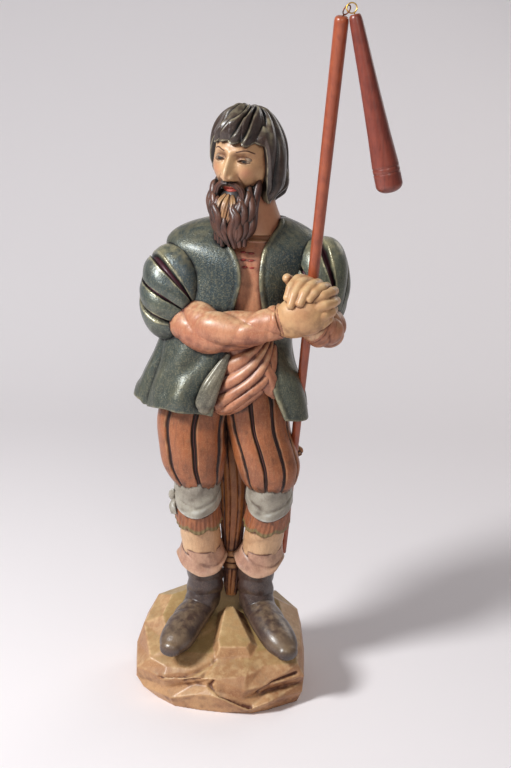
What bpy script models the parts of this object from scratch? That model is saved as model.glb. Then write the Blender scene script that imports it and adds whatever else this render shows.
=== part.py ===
"""Carved and painted wooden figure of a bearded thresher with a flail, on a faceted rock base."""

import math

import bmesh
import bpy
import numpy as np
from mathutils import Matrix, Vector

# Driving sizes, in metres
FIGURE_HEIGHT = 0.535
ROCK_HEIGHT = 0.065
ROCK_WIDTH = 0.179
ROCK_DEPTH = 0.150
STAFF_ABOVE_GRIP = 0.2505
STAFF_BELOW_GRIP = 0.3090
STAFF_TOP_DIAMETER = 0.0120
STAFF_END_DIAMETER = 0.0070
SWIPPLE_LENGTH = 0.1450
SWIPPLE_NECK_DIAMETER = 0.0112
SWIPPLE_END_DIAMETER = 0.0235
SWIPPLE_GROOVE_DEPTH = 0.0005
SWIPPLE_GROOVE_SPACING = 0.0045
EYE_RING_RADIUS = 0.0041
EYE_WIRE_RADIUS = 0.00055
EYE_SHANK_LENGTH = 0.0110
EYE_STAND_OFF = 0.0016
GRIP_CLEARANCE = 0.0004
SHANK_CLEARANCE = 0.0003

# Drawing units: the carving is drawn as shares of a figure 535 units tall, on rock 65 units high
DRAWN_HEIGHT = 535.0
DRAWN_ROCK_HEIGHT = 65.0
DRAWN_ROCK_WIDTH = 179.0
DRAWN_ROCK_DEPTH = 150.0
UNIT = FIGURE_HEIGHT / DRAWN_HEIGHT

# Staff line through the hands
GRIP_POINT = (75.5, -55.0, 430.0)
STAFF_LEAN_SIDE = 0.0443
STAFF_LEAN_FORWARD = -0.29

# Screw eyes: shank directions, where they enter beside each axis as shares of the rod's diameter, and how
# the two rings link as a share of the ring's radius
STAFF_EYE_AXIS = (0.5, 0.0, 0.87)
STAFF_EYE_OFFSET = (0.06, 0.0, 0.0)
STAFF_EYE_SPIN = math.radians(120)
SWIPPLE_EYE_AXIS = (-0.45, 0.2, 0.84)
SWIPPLE_EYE_SPIN = math.radians(170)
LINK_DIRECTION = (0.86, -0.37, 0.34)
LINK_SPACING = 1.1
SWIPPLE_HANG = (0.262, 0.0, -0.965)

# Carving surface
CARVE_VOXEL = 1.8
FIGURE_TRIANGLES = 7700


def place(points):
    """Drawing units of the figure to metres, standing on the rock."""
    out = np.array(points, float) * UNIT
    out[:, 2] += ROCK_HEIGHT - DRAWN_ROCK_HEIGHT * UNIT
    return out


def place_rock(points):
    """Drawing units of the rock to metres."""
    out = np.array(points, float)
    return out * (
        ROCK_WIDTH / DRAWN_ROCK_WIDTH,
        ROCK_DEPTH / DRAWN_ROCK_DEPTH,
        ROCK_HEIGHT / DRAWN_ROCK_HEIGHT,
    )


def smooth(edge0, edge1, x):
    t = np.clip((x - edge0) / (edge1 - edge0), 0.0, 1.0)
    return t * t * (3.0 - 2.0 * t)


def bell(x, centre, width):
    return np.exp(-(((x - centre) / width) ** 2))


def unit(vector):
    vector = np.array(vector, float)
    return vector / np.linalg.norm(vector)


def spline(keys, count):
    """Smooth curve through rows of keys, read at even steps."""
    keys = np.array(keys, float)
    ends = np.vstack([2 * keys[0] - keys[1], keys, 2 * keys[-1] - keys[-2]])
    t = np.linspace(0, len(keys) - 1, count)
    i = np.minimum(t.astype(int), len(keys) - 2)
    f = (t - i)[:, None]
    a, b, c, d = ends[i], ends[i + 1], ends[i + 2], ends[i + 3]
    return 0.5 * (
        2 * b + (c - a) * f + (2 * a - 5 * b + 4 * c - d) * f**2 + (3 * b - a - 3 * c + d) * f**3
    )


def skin(rows):
    """Closed surface over rows of points that each run once round, with a fan at both ends."""
    rows = np.array(rows, float)
    count, round_count = rows.shape[:2]
    points = np.vstack([rows.reshape(-1, 3), rows[0].mean(0), rows[-1].mean(0)])
    faces = []
    for i in range(count - 1):
        for j in range(round_count):
            k = (j + 1) % round_count
            low, high = i * round_count, (i + 1) * round_count
            faces.append((low + j, low + k, high + k, high + j))
    first, last = count * round_count, count * round_count + 1
    for j in range(round_count):
        k = (j + 1) % round_count
        faces.append((first, k, j))
        faces.append((last, (count - 1) * round_count + j, (count - 1) * round_count + k))
    return points, faces


def stack(keys, rows=24, around=40, relief=None, square=2.3):
    """Upright form through sections (z, centre x, centre y, half width, half depth).

    relief(angle, z, share) gives a factor on the radius; angle -pi/2 faces forward.
    """
    levels = spline(keys, rows)
    angle = np.linspace(0, 2 * math.pi, around, endpoint=False)
    c, s = np.cos(angle), np.sin(angle)
    out = []
    for i, (z, cx, cy, hw, hd) in enumerate(levels):
        r = (np.abs(c) ** square + np.abs(s) ** square) ** (-1.0 / square)
        if relief is not None:
            r = r * relief(angle, z, i / (rows - 1))
        out.append(np.stack([cx + hw * r * c, cy + hd * r * s, np.full(around, z)], 1))
    return skin(out)


def frames(path, up):
    """Tangent and two normals along a path."""
    tangent = np.gradient(path, axis=0)
    tangent /= np.linalg.norm(tangent, axis=1)[:, None]
    side = np.cross(tangent, np.array(up, float))
    side /= np.linalg.norm(side, axis=1)[:, None]
    return tangent, side, np.cross(side, tangent)


def sweep(keys, rows=20, around=20, relief=None, up=(0, 1, 0), dome=0.7, flat=1.0):
    """Rounded limb along keys (x, y, z, radius), with domed ends.

    relief(angle, share) gives a factor on the radius; flat narrows it along the second normal.
    """
    line = spline(keys, rows)
    path, radius = line[:, :3], np.maximum(line[:, 3], 0.4)
    tangent, side, lift = frames(path, up)
    angle = np.linspace(0, 2 * math.pi, around, endpoint=False)
    c, s = np.cos(angle)[:, None], np.sin(angle)[:, None] * flat

    def section(i, scale, along):
        r = radius[i] * scale
        if relief is not None:
            r = r * relief(angle, i / (rows - 1))[:, None]
        return path[i] + tangent[i] * along + r * (c * side[i] + s * lift[i])

    out = [section(0, f, -radius[0] * dome * math.sqrt(1 - f * f)) for f in (0.45, 0.8)]
    out += [section(i, 1.0, 0.0) for i in range(rows)]
    last = rows - 1
    out += [section(last, f, radius[last] * dome * math.sqrt(1 - f * f)) for f in (0.8, 0.45)]
    return skin(out)


def puff(centre, sizes, axis, rows, around, relief, square=2.4):
    """Puffed form about a centre, whose relief follows the lines from pole to pole of an axis."""
    axis = unit(axis)
    first = unit(np.cross(axis, (0, 1, 0)))
    second = np.cross(axis, first)
    angle = np.linspace(0, 2 * math.pi, around, endpoint=False)
    ring = np.cos(angle)[:, None] * first + np.sin(angle)[:, None] * second
    out = []
    for share in np.linspace(0.03, 0.97, rows):
        way = math.sin(share * math.pi) * ring - math.cos(share * math.pi) * axis
        radius = (np.abs(way / sizes) ** square).sum(1) ** (-1 / square) * relief(angle, share)
        out.append(np.array(centre) + way * radius[:, None])
    return skin(out)


def ball(centre, radii, rows=14, around=20, axes=None):
    """Rounded body about a centre, with its radii along the given axes."""
    out = []
    for v in np.linspace(0.06, math.pi - 0.06, rows):
        angle = np.linspace(0, 2 * math.pi, around, endpoint=False)
        level = np.full(around, math.cos(v))
        d = np.stack([math.sin(v) * np.cos(angle), math.sin(v) * np.sin(angle), level], 1)
        out.append(d * radii)
    out = np.array(out)
    if axes is not None:
        out = out @ np.array(axes)
    return skin(out + np.array(centre))


# Legs, from the hips to the boots; the first of each pair stands at -X
BREECHES = (
    ((356, -22, 0, 34, 33), (322, -28, 0, 36, 34), (291, -34, -2, 36, 35), (264, -33, -6, 34, 34),
     (247, -32.5, -9, 31, 31), (233, -29.5, -10, 26.5, 27), (225, -28, -10, 21, 22)),
    ((356, 17, 0, 34, 33), (322, 26, 0, 34, 34), (289, 30, -4, 32, 34), (266, 37, -9, 32, 33),
     (249, 42, -13, 31.5, 31), (233, 44, -14, 27.5, 28), (225, 45, -13, 22, 23)),
)
LEGS = (
    ((230, -28.5, -10, 20, 21), (196, -27.5, -8, 20.5, 21), (176, -25, -4, 20.5, 22),
     (156, -23, -1, 20.5, 22), (136, -21, 0, 19.5, 21), (112, -18, 2, 18.5, 20), (84, -22, 2, 18, 21)),
    ((230, 45, -13, 20, 21), (196, 44.5, -10, 20.5, 21), (176, 42, -5, 20.5, 22),
     (156, 39.5, -1, 20.5, 22), (136, 36, 1, 19.5, 21), (112, 34, 4, 18.5, 20), (84, 37, 4, 18, 21)),
)
FEET = (
    ((-20, 14, 84, 14), (-25, -6, 84, 17), (-35, -29, 78, 18), (-43, -47, 71, 18), (-49, -62, 66, 10)),
    ((34, 18, 86, 14), (39, -4, 85, 17), (50, -29, 79, 18), (60, -47, 72, 18), (68, -62, 66, 10)),
)
# Upper and lower heights, each at the sides and in front, then thickness, flare and scallops
KNEE_BAND = ((232, 232), (208, 194), 3.2, 0.8)
GARTER = ((210, 208), (187, 180), 1.0, 2.6, 7, 5.0)
BOOT_CUFF = ((160, 156), (143, 128), -0.6, 6.0)
PANES = (8, 10)
FIRST_SLASH = (math.radians(-83), math.radians(-97))


def breeches(k):
    """One leg of the breeches: puffed panes between slashes that close towards both ends."""

    def relief(angle, z, share):
        wave = np.abs(np.sin((angle - FIRST_SLASH[k]) * PANES[k] / 2))
        opened = smooth(0.0, 0.06, share) * (1 - 0.45 * smooth(0.8, 1.0, share))
        return 1 - 0.12 * opened * (1 - smooth(0.05, 0.38, wave)) + 0.02 * opened * wave

    return stack(BREECHES[k], 26, 72, relief, 2.2)


def band(leg, top_heights, low_heights, grow, flare, scallops=0, scallop=0.0, rows=7, around=36):
    """Cloth or leather turned round a leg; the heights are at the sides and in front."""
    levels = np.array(leg, float)[::-1]
    angle = np.linspace(0, 2 * math.pi, around, endpoint=False)
    front = np.clip(-np.sin(angle), 0, 1) ** 1.4
    top = top_heights[0] + (top_heights[1] - top_heights[0]) * front
    low = low_heights[0] + (low_heights[1] - low_heights[0]) * front
    if scallops:
        low = low - scallop * np.abs(np.sin(angle * scallops / 2))
    out = []
    steps = [(0.0, -4.0)] + [(t, grow + flare * t) for t in np.linspace(0, 1, rows)] + [(1.0, -4.0)]
    for t, thick in steps:
        z = top + (low - top) * t
        cx, cy, hw, hd = (np.interp(z, levels[:, 0], levels[:, k]) for k in (1, 2, 3, 4))
        out.append(np.stack([cx + (hw + thick) * np.cos(angle), cy + (hd + thick) * np.sin(angle), z], 1))
    return skin(out)


def legs():
    parts = []
    for k in (0, 1):
        parts.append(breeches(k))
        parts.append(stack(LEGS[k], 26, 28, None, 2.1))
        parts.append(band(LEGS[k], *KNEE_BAND))
        parts.append(band(LEGS[k], *GARTER, around=56))
        parts.append(band(LEGS[k], *BOOT_CUFF))
        parts.append(sweep(FEET[k], 16, 24, None, (0, 0, 1), 0.75, 0.82))
    return parts


# Shirt, jacket and sleeves
SHIRT = (
    (326, 2, 2, 44, 26), (340, 2, 0, 54, 35), (380, 8, -2, 54, 38), (420, 14, -1, 55, 38),
    (450, 14, 1, 58, 36), (464, 12.5, 2, 62, 32), (476, 13, 4, 58, 26), (485, 15, 5, 45, 21),
    (491, 19, 5, 30, 18), (496, 21, 3, 21, 18),
)
BLOUSE = (
    (396, 18, -24, 22, 22), (372, 19, -28, 27, 25), (350, 19, -30, 30, 27), (336, 14, -31, 27, 27),
    (324, 7, -31, 22, 25), (313, 1, -31, 16, 20), (306, -2, -30, 8, 11),
)
BLOUSE_GATHER = (44, 398)
BLOUSE_TAIL = ((28, -47, 366, 7), (36, -48, 350, 8.5), (42, -45, 336, 8), (46, -42, 328, 4.5))
# Jacket sections: z, centre x, centre y, half width, half depth, left front edge x, right front edge x
JACKET = (
    (301, -4.5, -1, 84, 52, -14, 49), (318, -4.5, -1, 81, 52, -11, 44), (336, -4.5, -2, 76, 50, -7, 39),
    (356, -4, -3, 69, 46, -3, 37), (376, -3, -3, 64, 44, 0, 36), (396, 3, -3, 61, 43, 3, 33),
    (416, 9, -3, 60, 43, 6, 30), (436, 13, -2, 63, 43, 10, 27), (452, 12, 0, 69, 42, 8.5, 27.5),
    (466, 11, 2, 74, 38, 2, 30), (477, 12, 4, 69, 31, -6, 36), (486, 14, 5, 54, 25, -10, 42),
    (493, 18, 5, 33, 22, -8, 45),
)
# Corner of the jacket's left front edge, turned back over the skirt
TURNED_CORNER = (
    (0, -50, 368, 2.5), (-7, -53, 354, 5.5), (-15, -57, 338, 8.5), (-20, -57, 323, 8.5), (-21, -55, 315, 5.5),
)
FLAP_ANGLE = math.radians(-34)
JACKET_SQUARE = 2.3


def blouse_relief(angle, z, share):
    """Folds that fan out from under the right wrist and sweep down to the left."""
    across = BLOUSE_GATHER[0] - 12 - 30 * np.cos(angle)
    down = BLOUSE_GATHER[1] - z
    turn = np.arctan2(down, across) + 0.0035 * np.hypot(across, down)
    fold = np.abs(np.sin(13.0 * turn + 0.6 * np.sin(5 * turn))) ** 0.75
    return 1 + 0.13 * fold - 0.085


def jacket_fold(angle, z):
    """Depth of the hanging folds, in drawing units."""
    drop = smooth(392, 310, z)
    flutes = 0.7 * (2 * np.abs(np.sin(3 * angle + 1.82)) - 1) + 0.34 * np.cos(9 * angle - 0.6)
    chest = bell(z, 440, 26) * 1.2 * np.cos(5 * angle + z * 0.06)
    turn = np.angle(np.exp(1j * (angle - FLAP_ANGLE)))
    flap = smooth(378, 340, z) * (12 * bell(turn, -0.08, 0.32) - 7 * bell(turn, 0.55, 0.22))
    calm = 1 - bell(turn, 0.1, 0.5)
    return 7.6 * drop * flutes * calm + chest + flap


def jacket(rows=30, around=84, thick=4.6):
    """Open jacket as a thick shell that runs round the back from one front edge to the other."""
    levels = spline(JACKET, rows)
    share = np.linspace(0, 1, around)
    out = []
    for z, cx, cy, hw, hd, left, right in levels:
        start = -math.pi / 2 + math.asin(min(0.98, (right - cx) / hw))
        stop = 1.5 * math.pi - math.asin(max(-0.98, min(0.98, (cx - left) / hw)))
        angle = start + (stop - start) * share
        c, s = np.cos(angle), np.sin(angle)
        r = (np.abs(c) ** JACKET_SQUARE + np.abs(s) ** JACKET_SQUARE) ** (-1 / JACKET_SQUARE)
        fold = jacket_fold(angle, z)
        edge = np.minimum(share, 1 - share) * (stop - start) * hw
        roll = 0.8 * bell(edge, 3.5, 3.0)
        rise = 9 * smooth(0.3, -0.3, c) + 2.0 * np.cos(6 * angle + 0.5)
        hem = smooth(335, 301, z) * rise
        faces = []
        for depth in (fold + roll, fold + roll - thick):
            faces.append(np.stack([cx + (hw * r + depth) * c, cy + (hd * r + depth) * s, z + hem], 1))
        out.append(np.vstack([faces[0], faces[1][::-1]]))
    return skin_sheet(out)


def skin_sheet(rows):
    """Closed surface over rows that run out along a sheet and back along its other face."""
    rows = np.array(rows, float)
    count, round_count = rows.shape[:2]
    half = round_count // 2
    points = rows.reshape(-1, 3)
    faces = []
    for i in range(count - 1):
        for j in range(round_count):
            k = (j + 1) % round_count
            low, high = i * round_count, (i + 1) * round_count
            faces.append((low + j, low + k, high + k, high + j))
    top = (count - 1) * round_count
    for j in range(half - 1):
        other = round_count - 1 - j
        faces.append((j + 1, j, other, other - 1))
        faces.append((top + j, top + j + 1, top + other - 1, top + other))
    return points, faces


# Sleeves: centre, half sizes, and the way from the shoulder to the forearm
SLEEVES = (
    ((-53.5, -6, 418), (32.5, 36, 46), (0.42, -0.72, -0.55)),
    ((85, -4, 429), (28, 36, 47), (0.25, -0.6, -0.75)),
)
FOREARMS = (
    ((-48, -18, 397, 17), (-40, -31, 394, 21), (-14, -48, 391, 20.5), (16, -60, 395, 17),
     (36, -66, 402, 14.5), (47, -69, 406.5, 14.5), (51, -70, 408, 13.5)),
    ((84, -14, 404, 15), (91, -27, 398, 17.5), (90.5, -42, 395, 18), (85, -53, 397, 15.5),
     (79, -59, 401, 12.5)),
)
SLASHES = 9
SLASH_TURN = 0.35


def sleeve_relief(angle, share):
    """Puffed panes with slashes that open along the middle of the sleeve."""
    wave = np.abs(np.sin((angle + SLASH_TURN) * SLASHES / 2))
    opened = smooth(0.08, 0.35, share) * (1 - smooth(0.65, 0.92, share))
    return 1 - 0.16 * opened * (1 - smooth(0.05, 0.42, wave)) + 0.05 * opened * wave


def forearm_relief(angle, share):
    """Slanting wrinkles along the shirt sleeve, and the turned edge at the wrist."""
    slant = np.sin(angle * 2 + share * 15 + 0.8 * np.sin(6 * share))
    slant = slant + 0.6 * np.sin(angle * 3 - share * 24 + 1)
    cuff = 0.13 * smooth(0.88, 0.93, share)
    return 1 + 0.06 * slant * (1 - smooth(0.80, 0.92, share)) + cuff


def arms():
    parts = []
    for k in (0, 1):
        parts.append(puff(*SLEEVES[k], 26, 72, sleeve_relief))
        parts.append(sweep(FOREARMS[k], 28, 36, forearm_relief, (0, 0, 1), 0.5))
    return parts


# Hands: keys of each finger (x, y, z, radius)
NEAR_HAND = (
    (46, -71, 406, 13), (55, -75, 409, 17.5), (66, -78, 414, 19.5), (76, -77, 417, 19), (84, -74, 419, 15),
)
NEAR_FINGERS = (
    ((72, -82, 428, 5), (82, -82, 433, 5.2), (91, -76, 436, 4.9), (96, -66, 436, 4.5)),
    ((74, -84, 421, 5), (84, -84, 425, 5.4), (93, -78, 427, 5.1), (98, -67, 427, 4.6)),
    ((74, -83, 413, 5), (84, -83, 416, 5.4), (92, -77, 418, 5.1), (96, -67, 419, 4.6)),
    ((73, -80, 405, 5), (83, -79, 407, 5.2), (90, -73, 410, 4.8), (93, -64, 412, 4.3)),
)
FAR_HAND = ((84, -58, 400, 11), (82, -60, 411, 13), (77, -60, 424, 14), (71, -60, 434, 11))
FAR_FINGERS = (
    ((72, -62, 443, 4.8), (64, -68, 446, 5), (57, -77, 441, 4.8), (53, -84, 431, 4.3)),
    ((74, -66, 443, 4.8), (66, -75, 444, 5), (60, -83, 436, 4.9), (56, -88, 425, 4.3)),
    ((81, -66, 442, 4.8), (76, -76, 442, 5.2), (69, -84, 437, 4.9), (64, -89, 427, 4.3)),
    ((89, -66, 439, 4.6), (85, -75, 440, 5), (78, -83, 437, 4.7), (72, -87, 431, 4.2)),
)
FAR_THUMB = ((66, -56, 436, 5.5), (58, -60, 441, 5.4), (52, -64, 446, 4.6))


def hands():
    parts = [sweep(NEAR_HAND, 12, 20, None, (0, 1, 0), 0.5, 0.72)]
    parts.append(sweep(FAR_HAND, 12, 20, None, (0, 1, 0), 0.5, 0.8))
    for keys in NEAR_FINGERS + FAR_FINGERS + (FAR_THUMB,):
        parts.append(sweep(keys, 12, 12, None, (0.1, 0.2, 1), 0.8))
    return parts


# Head: its own axes are side, forward and up
HEAD_CENTRE = (11.0, -8.0, 549.0)
HEAD_TURN = math.radians(24)
HEAD_ROLL = math.radians(5)
HEAD_NOD = math.radians(4)
SKULL = (28.5, 36.0, 45.5)


def head_axes():
    """Rows are the head's side, back and up directions."""
    turns = ((-HEAD_NOD, "X"), (-HEAD_ROLL, "Y"), (HEAD_TURN, "Z"))
    nod, roll, turn = [np.array(Matrix.Rotation(angle, 3, axis)) for angle, axis in turns]
    return nod @ roll @ turn


def from_head(points):
    return np.array(points, float) @ head_axes() + HEAD_CENTRE


def face_forward(x, z):
    """How far the features stand forward of the skull."""
    ax = np.abs(x)
    brow = 2.6 * bell(z, 10, 4.5) * bell(ax, 9, 12)
    socket = -4.2 * bell(z, 1.5, 5.0) * bell(ax, 12.5, 7.0)
    ridge = (2.5 + 8.5 * smooth(8, -13, z)) * bell(x, 0, 3.4 + 1.4 * smooth(4, -12, z))
    nose = ridge * smooth(14, 6, z) * smooth(-19.5, -15.5, z)
    wings = 4.0 * bell(ax, 5.6, 2.6) * bell(z, -13.5, 3.6)
    cheek = 2.6 * bell(ax, 16, 8) * bell(z, -9, 8)
    mouth = 2.6 * bell(x, 0, 9) * bell(z, -25, 4.5) - 1.2 * bell(x, 0, 8) * bell(z, -24.5, 1.0)
    chin = 4.0 * bell(x, 0, 8) * bell(z, -40, 6)
    lid = 2.2 * bell(z, 0.8, 3.4) * bell(ax, 12.3, 5.4)
    return brow + socket + nose + wings + cheek + mouth + chin + lid


def head(rows=64, around=96):
    """Skull and face; narrower below the cheeks."""
    out = []
    angle = np.linspace(0, 2 * math.pi, around, endpoint=False)
    for v in np.linspace(0.05, math.pi - 0.05, rows):
        level = np.full(around, math.cos(v))
        d = np.stack([math.sin(v) * np.cos(angle), math.sin(v) * np.sin(angle), level], 1)
        p = d * SKULL
        p[:, 0] *= 1 - 0.20 * smooth(-8, -44, p[:, 2])
        front = smooth(0.0, 0.5, -d[:, 1])
        p[:, 1] -= front * face_forward(p[:, 0], p[:, 2])
        out.append(p)
    return skin(from_head(np.array(out).reshape(-1, 3)).reshape(rows, around, 3))


NECK = ((478, 22, 2, 27, 24), (492, 21, 2, 25, 22), (508, 17, 0, 23, 21), (526, 14, 0, 22, 21))
LOCKS = 20
HAIR_CROWN = 45.5


def hair_low(angle):
    """Lower edge of the hair: a fringe in front, the nape and temples lower."""
    front = smooth(0.22, 0.52, -np.sin(angle))
    nape = smooth(0.1, 0.9, np.sin(angle))
    far = smooth(0.3, 0.9, -np.cos(angle)) * smooth(-0.6, 0.2, -np.sin(angle))
    return -34 + 52 * front - 5 * nape + 24 * far * (1 - front)


def lock_phase(angle, t):
    """Place across a lock, from 0 to 1, at a share of the way down from the crown."""
    turn = (angle + 0.5 * t + 0.07 * np.sin(3 * angle + 6 * t)) * LOCKS / (2 * math.pi)
    return turn - np.floor(turn)


def hair(rows=40, around=120, thick=6.0):
    """Cap of hair in thick overlapping locks from the crown, cut over the brow and turned out at the neck."""
    angle = np.linspace(0, 2 * math.pi, around, endpoint=False)
    tips = np.sin(math.pi * lock_phase(angle, 1.0) ** 0.7)
    low = hair_low(angle) - 3.0 * tips
    reach = np.arccos(low / HAIR_CROWN)
    back = smooth(-0.4, 0.6, np.sin(angle))
    side = smooth(0.0, 0.6, -np.sin(angle)) * smooth(0.2, 0.8, np.abs(np.cos(angle)))
    out = []
    for t, keep in [(t, 1.0) for t in np.linspace(0.03, 1, rows)] + [(1.0, 0.3)]:
        v = reach * t
        z = HAIR_CROWN * np.cos(v)
        rim = np.where(v < math.pi / 2, np.sin(v), np.sqrt(1 - np.clip(z / HAIR_CROWN, -0.35, 0) ** 2))
        lock = np.sin(math.pi * lock_phase(angle, t) ** 0.7) ** 0.8
        grow = thick * (0.65 + 0.62 * lock * smooth(0.02, 0.22, t))
        grow = grow * (0.85 + 0.3 * smooth(0.1, 0.7, t)) * (1 - 0.4 * side * smooth(0.4, 0.8, t))
        grow = keep * (grow + 7.0 * bell(z, -19, 15) * (0.3 + 0.7 * back)) * (1 - 0.4 * smooth(0.9, 1.0, t))
        up = 0.75 * np.clip(np.cos(v), 0, 1)
        out_share = np.sqrt(1 - up**2) * np.where(v < math.pi / 2, np.sin(v) ** 0.5, 1.0)
        radius_x, radius_y = SKULL[0] * rim + out_share * grow, SKULL[1] * rim + out_share * grow
        out.append(np.stack([radius_x * np.cos(angle), radius_y * np.sin(angle), z + up * grow], 1))
    return skin(from_head(np.array(out).reshape(-1, 3)).reshape(rows + 1, around, 3))


BEARD_CORE = ((1, -17, -44), (19, 18, 24))


def beard_locks():
    """Keys of the beard's wavy locks in the head's axes, from the jaw and cheeks down to the point."""
    locks = []
    for side in (-1, 1):
        for k, inner in enumerate(np.linspace(0, 1, 6)):
            wave = 1.7 * (-1) ** k
            top = (side * (25 - 16 * inner), -11 - 24 * inner**0.7, -8 - 29 * inner**0.6)
            high = (side * (24.5 - 15 * inner) + wave, -17 - 20 * inner**0.7, -22 - 20 * inner)
            mid = (side * (23 - 14 * inner) + 1 - wave, -24 - 15 * inner**0.7, -40 - 10 * inner)
            low = (side * (17 - 11 * inner) + 4 + wave, -31 - 9 * inner, -58 - 5 * inner)
            end = -71 - 4 * inner + 2 * math.sin(3 * k + side)
            tip = (side * (12 - 8 * inner) + 5 - wave, -35 - 4 * inner, end)
            locks.append([top + (2.6,), high + (4.4,), mid + (5.4,), low + (4.8,), tip + (2.0,)])
    locks.append([(0, -37, -48, 3.0), (1, -40, -58, 4.6), (4, -40, -67, 4.2), (6, -39, -76, 1.8)])
    return locks


MOUSTACHE = (
    (1.5, -34.5, -19.8, 1.9), (7, -33.8, -21.0, 2.9), (12.5, -31, -26.5, 3.3), (14.5, -31.5, -37, 3.2),
    (12, -35, -50, 2.0),
)
TUFT = ((0, -31.5, -32, 2.4), (0, -35.5, -39, 4.4), (0, -38.5, -48, 4.2), (0, -39, -57, 2.2))


def turned(keys, mirror=1):
    keys = np.array(keys, float)
    keys[:, 0] *= mirror
    keys[:, :3] = from_head(keys[:, :3])
    return keys


def beard():
    parts = [ball(from_head([BEARD_CORE[0]])[0], BEARD_CORE[1], 14, 22, head_axes())]
    for keys in beard_locks():
        parts.append(sweep(turned(keys), 14, 10, None, (0.3, 1, 0.1), 0.8))
    for mirror in (-1, 1):
        parts.append(sweep(turned(MOUSTACHE, mirror), 14, 10, None, (0.3, 1, 0.1), 0.8))
    parts.append(sweep(turned(TUFT), 8, 12, None, (0.3, 1, 0.1), 0.8))
    return parts


# Wheat sheaf behind the legs
SHEAF = (
    (92, 9, 12, 6, 5), (104, 9, 12, 8.5, 7), (122, 9, 12, 9.5, 8), (146, 8.5, 13, 10.5, 8),
    (180, 8, 15, 13.5, 9), (230, 8, 19, 17, 10), (285, 9, 25, 21, 11),
)
TIE = (124, 144)
EARS = 9


def sheaf_relief(angle, z, share):
    return 1 - 0.16 * (1 - smooth(0.0, 0.6, np.abs(np.sin(3.5 * angle + 0.4))))


def sheaf():
    parts = [stack(SHEAF, 20, 42, sheaf_relief, 2.0)]
    ridges = 3
    step = (TIE[1] - TIE[0]) / ridges
    for k in range(ridges):
        z = TIE[0] + step * (k + 0.5)
        ridge = ((-0.5, 8.8), (-0.3, 11.0), (0.3, 11.0), (0.5, 8.8))
        keys = [(z + d * step, 9, 12.5, r, r * 0.88) for d, r in ridge]
        parts.append(stack(keys, 7, 28, None, 2.0))
    for spread in np.linspace(-1, 1, EARS):
        foot = (9 + 22 * spread, 26, 236 - 10 * spread**2)
        tip = (9 + 66 * spread, 35 - 16 * spread**2, 284 - 31 * spread**2)
        mid = tuple(0.5 * (a + b) for a, b in zip(foot, tip))
        parts.append(sweep([foot + (3.5,), mid + (6.0,), tip + (4.2,)], 9, 12, None, (0, 1, 0), 0.8))
    return parts


# Rock: corners from the front left, round by the right; levels from the foot to the top
ROCK_FOOT = (
    (-62, -46), (-44, -61), (-18, -67), (4, -70), (36, -69), (52, -62), (81, -44), (86, -8), (82, 34),
    (58, 62), (10, 70), (-40, 64), (-74, 36), (-76, -14),
)
ROCK_LOW = (
    (-78, -42, 10), (-48, -66, 12), (-22, -73, 21), (2, -78, 22), (31, -77, 8), (51, -73, 15),
    (86, -48, 14), (88, -6, 12), (86, 38, 14), (62, 68, 16), (12, 74, 16), (-43, 69, 16), (-82, 42, 14),
    (-86, -6, 10),
)
ROCK_WAIST = (
    (-86, -38, 19), (-53, -67, 20), (-24, -69, 27), (-5, -71, 29), (24, -75, 17), (50, -66, 22),
    (87, -47, 23), (89, -6, 26), (88, 40, 30), (62, 70, 34), (12, 75, 36), (-44, 70, 34), (-84, 42, 32),
    (-89.5, -4, 22),
)
ROCK_SHELF = (
    (-85, -41, 32), (-56, -64, 33), (-26, -67, 36), (-6, -69, 37), (27, -74, 28), (49, -67, 31),
    (87, -50, 33), (88, -6, 40), (86, 39, 46), (61, 66, 54), (12, 72, 58), (-43, 67, 56), (-82, 41, 52),
    (-89, -3, 40),
)
ROCK_EDGE = (
    (-71, -45, 45), (-53, -57, 42), (-28, -60, 42), (-6, -61, 41), (27, -67, 40), (46, -54, 45),
    (80, -50, 47), (84, -6, 57), (81, 34, 66), (58, 56, 76), (12, 64, 80), (-40, 58, 80), (-70, 36, 77),
    (-82, -2, 62),
)
ROCK_TOP = (
    (-50, -36, 56), (-42, -42, 52), (-22, -44, 52), (-4, -44, 53), (22, -44, 53), (40, -40, 54),
    (62, -34, 56), (66, -4, 69), (60, 24, 80), (42, 38, 85), (10, 42, 87), (-28, 38, 87), (-54, 22, 84),
    (-62, -4, 72),
)
ROCK_SINK = 4.0
STONE_FOOT = ((-6, -51, 44), (32, -49, 44), (39, -35, 52), (22, 4, 74), (-3, 4, 74), (-9, -36, 52))
STONE_TOP = ((0, -46, 60), (27, -44, 60), (31, -37, 63), (12, -2, 84), (4, -2, 84), (-2, -38, 64))


def rock():
    """Faceted rock with the upper edge falling towards the front, and a cut stone between the boots."""
    foot = [(x, y, -ROCK_SINK) for x, y in ROCK_FOOT]
    block = skin([foot, ROCK_LOW, ROCK_WAIST, ROCK_SHELF, ROCK_EDGE, ROCK_TOP])
    return [block, skin([STONE_FOOT, STONE_TOP])]


def collection_of(name):
    found = bpy.data.collections.new(name)
    bpy.context.scene.collection.children.link(found)
    return found


def material_of(name, color, roughness, metallic=0.0):
    made = bpy.data.materials.new(name)
    made.use_nodes = True
    shader = made.node_tree.nodes["Principled BSDF"]
    shader.inputs["Base Color"].default_value = (*color, 1.0)
    shader.inputs["Roughness"].default_value = roughness
    shader.inputs["Metallic"].default_value = metallic
    return made


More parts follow.
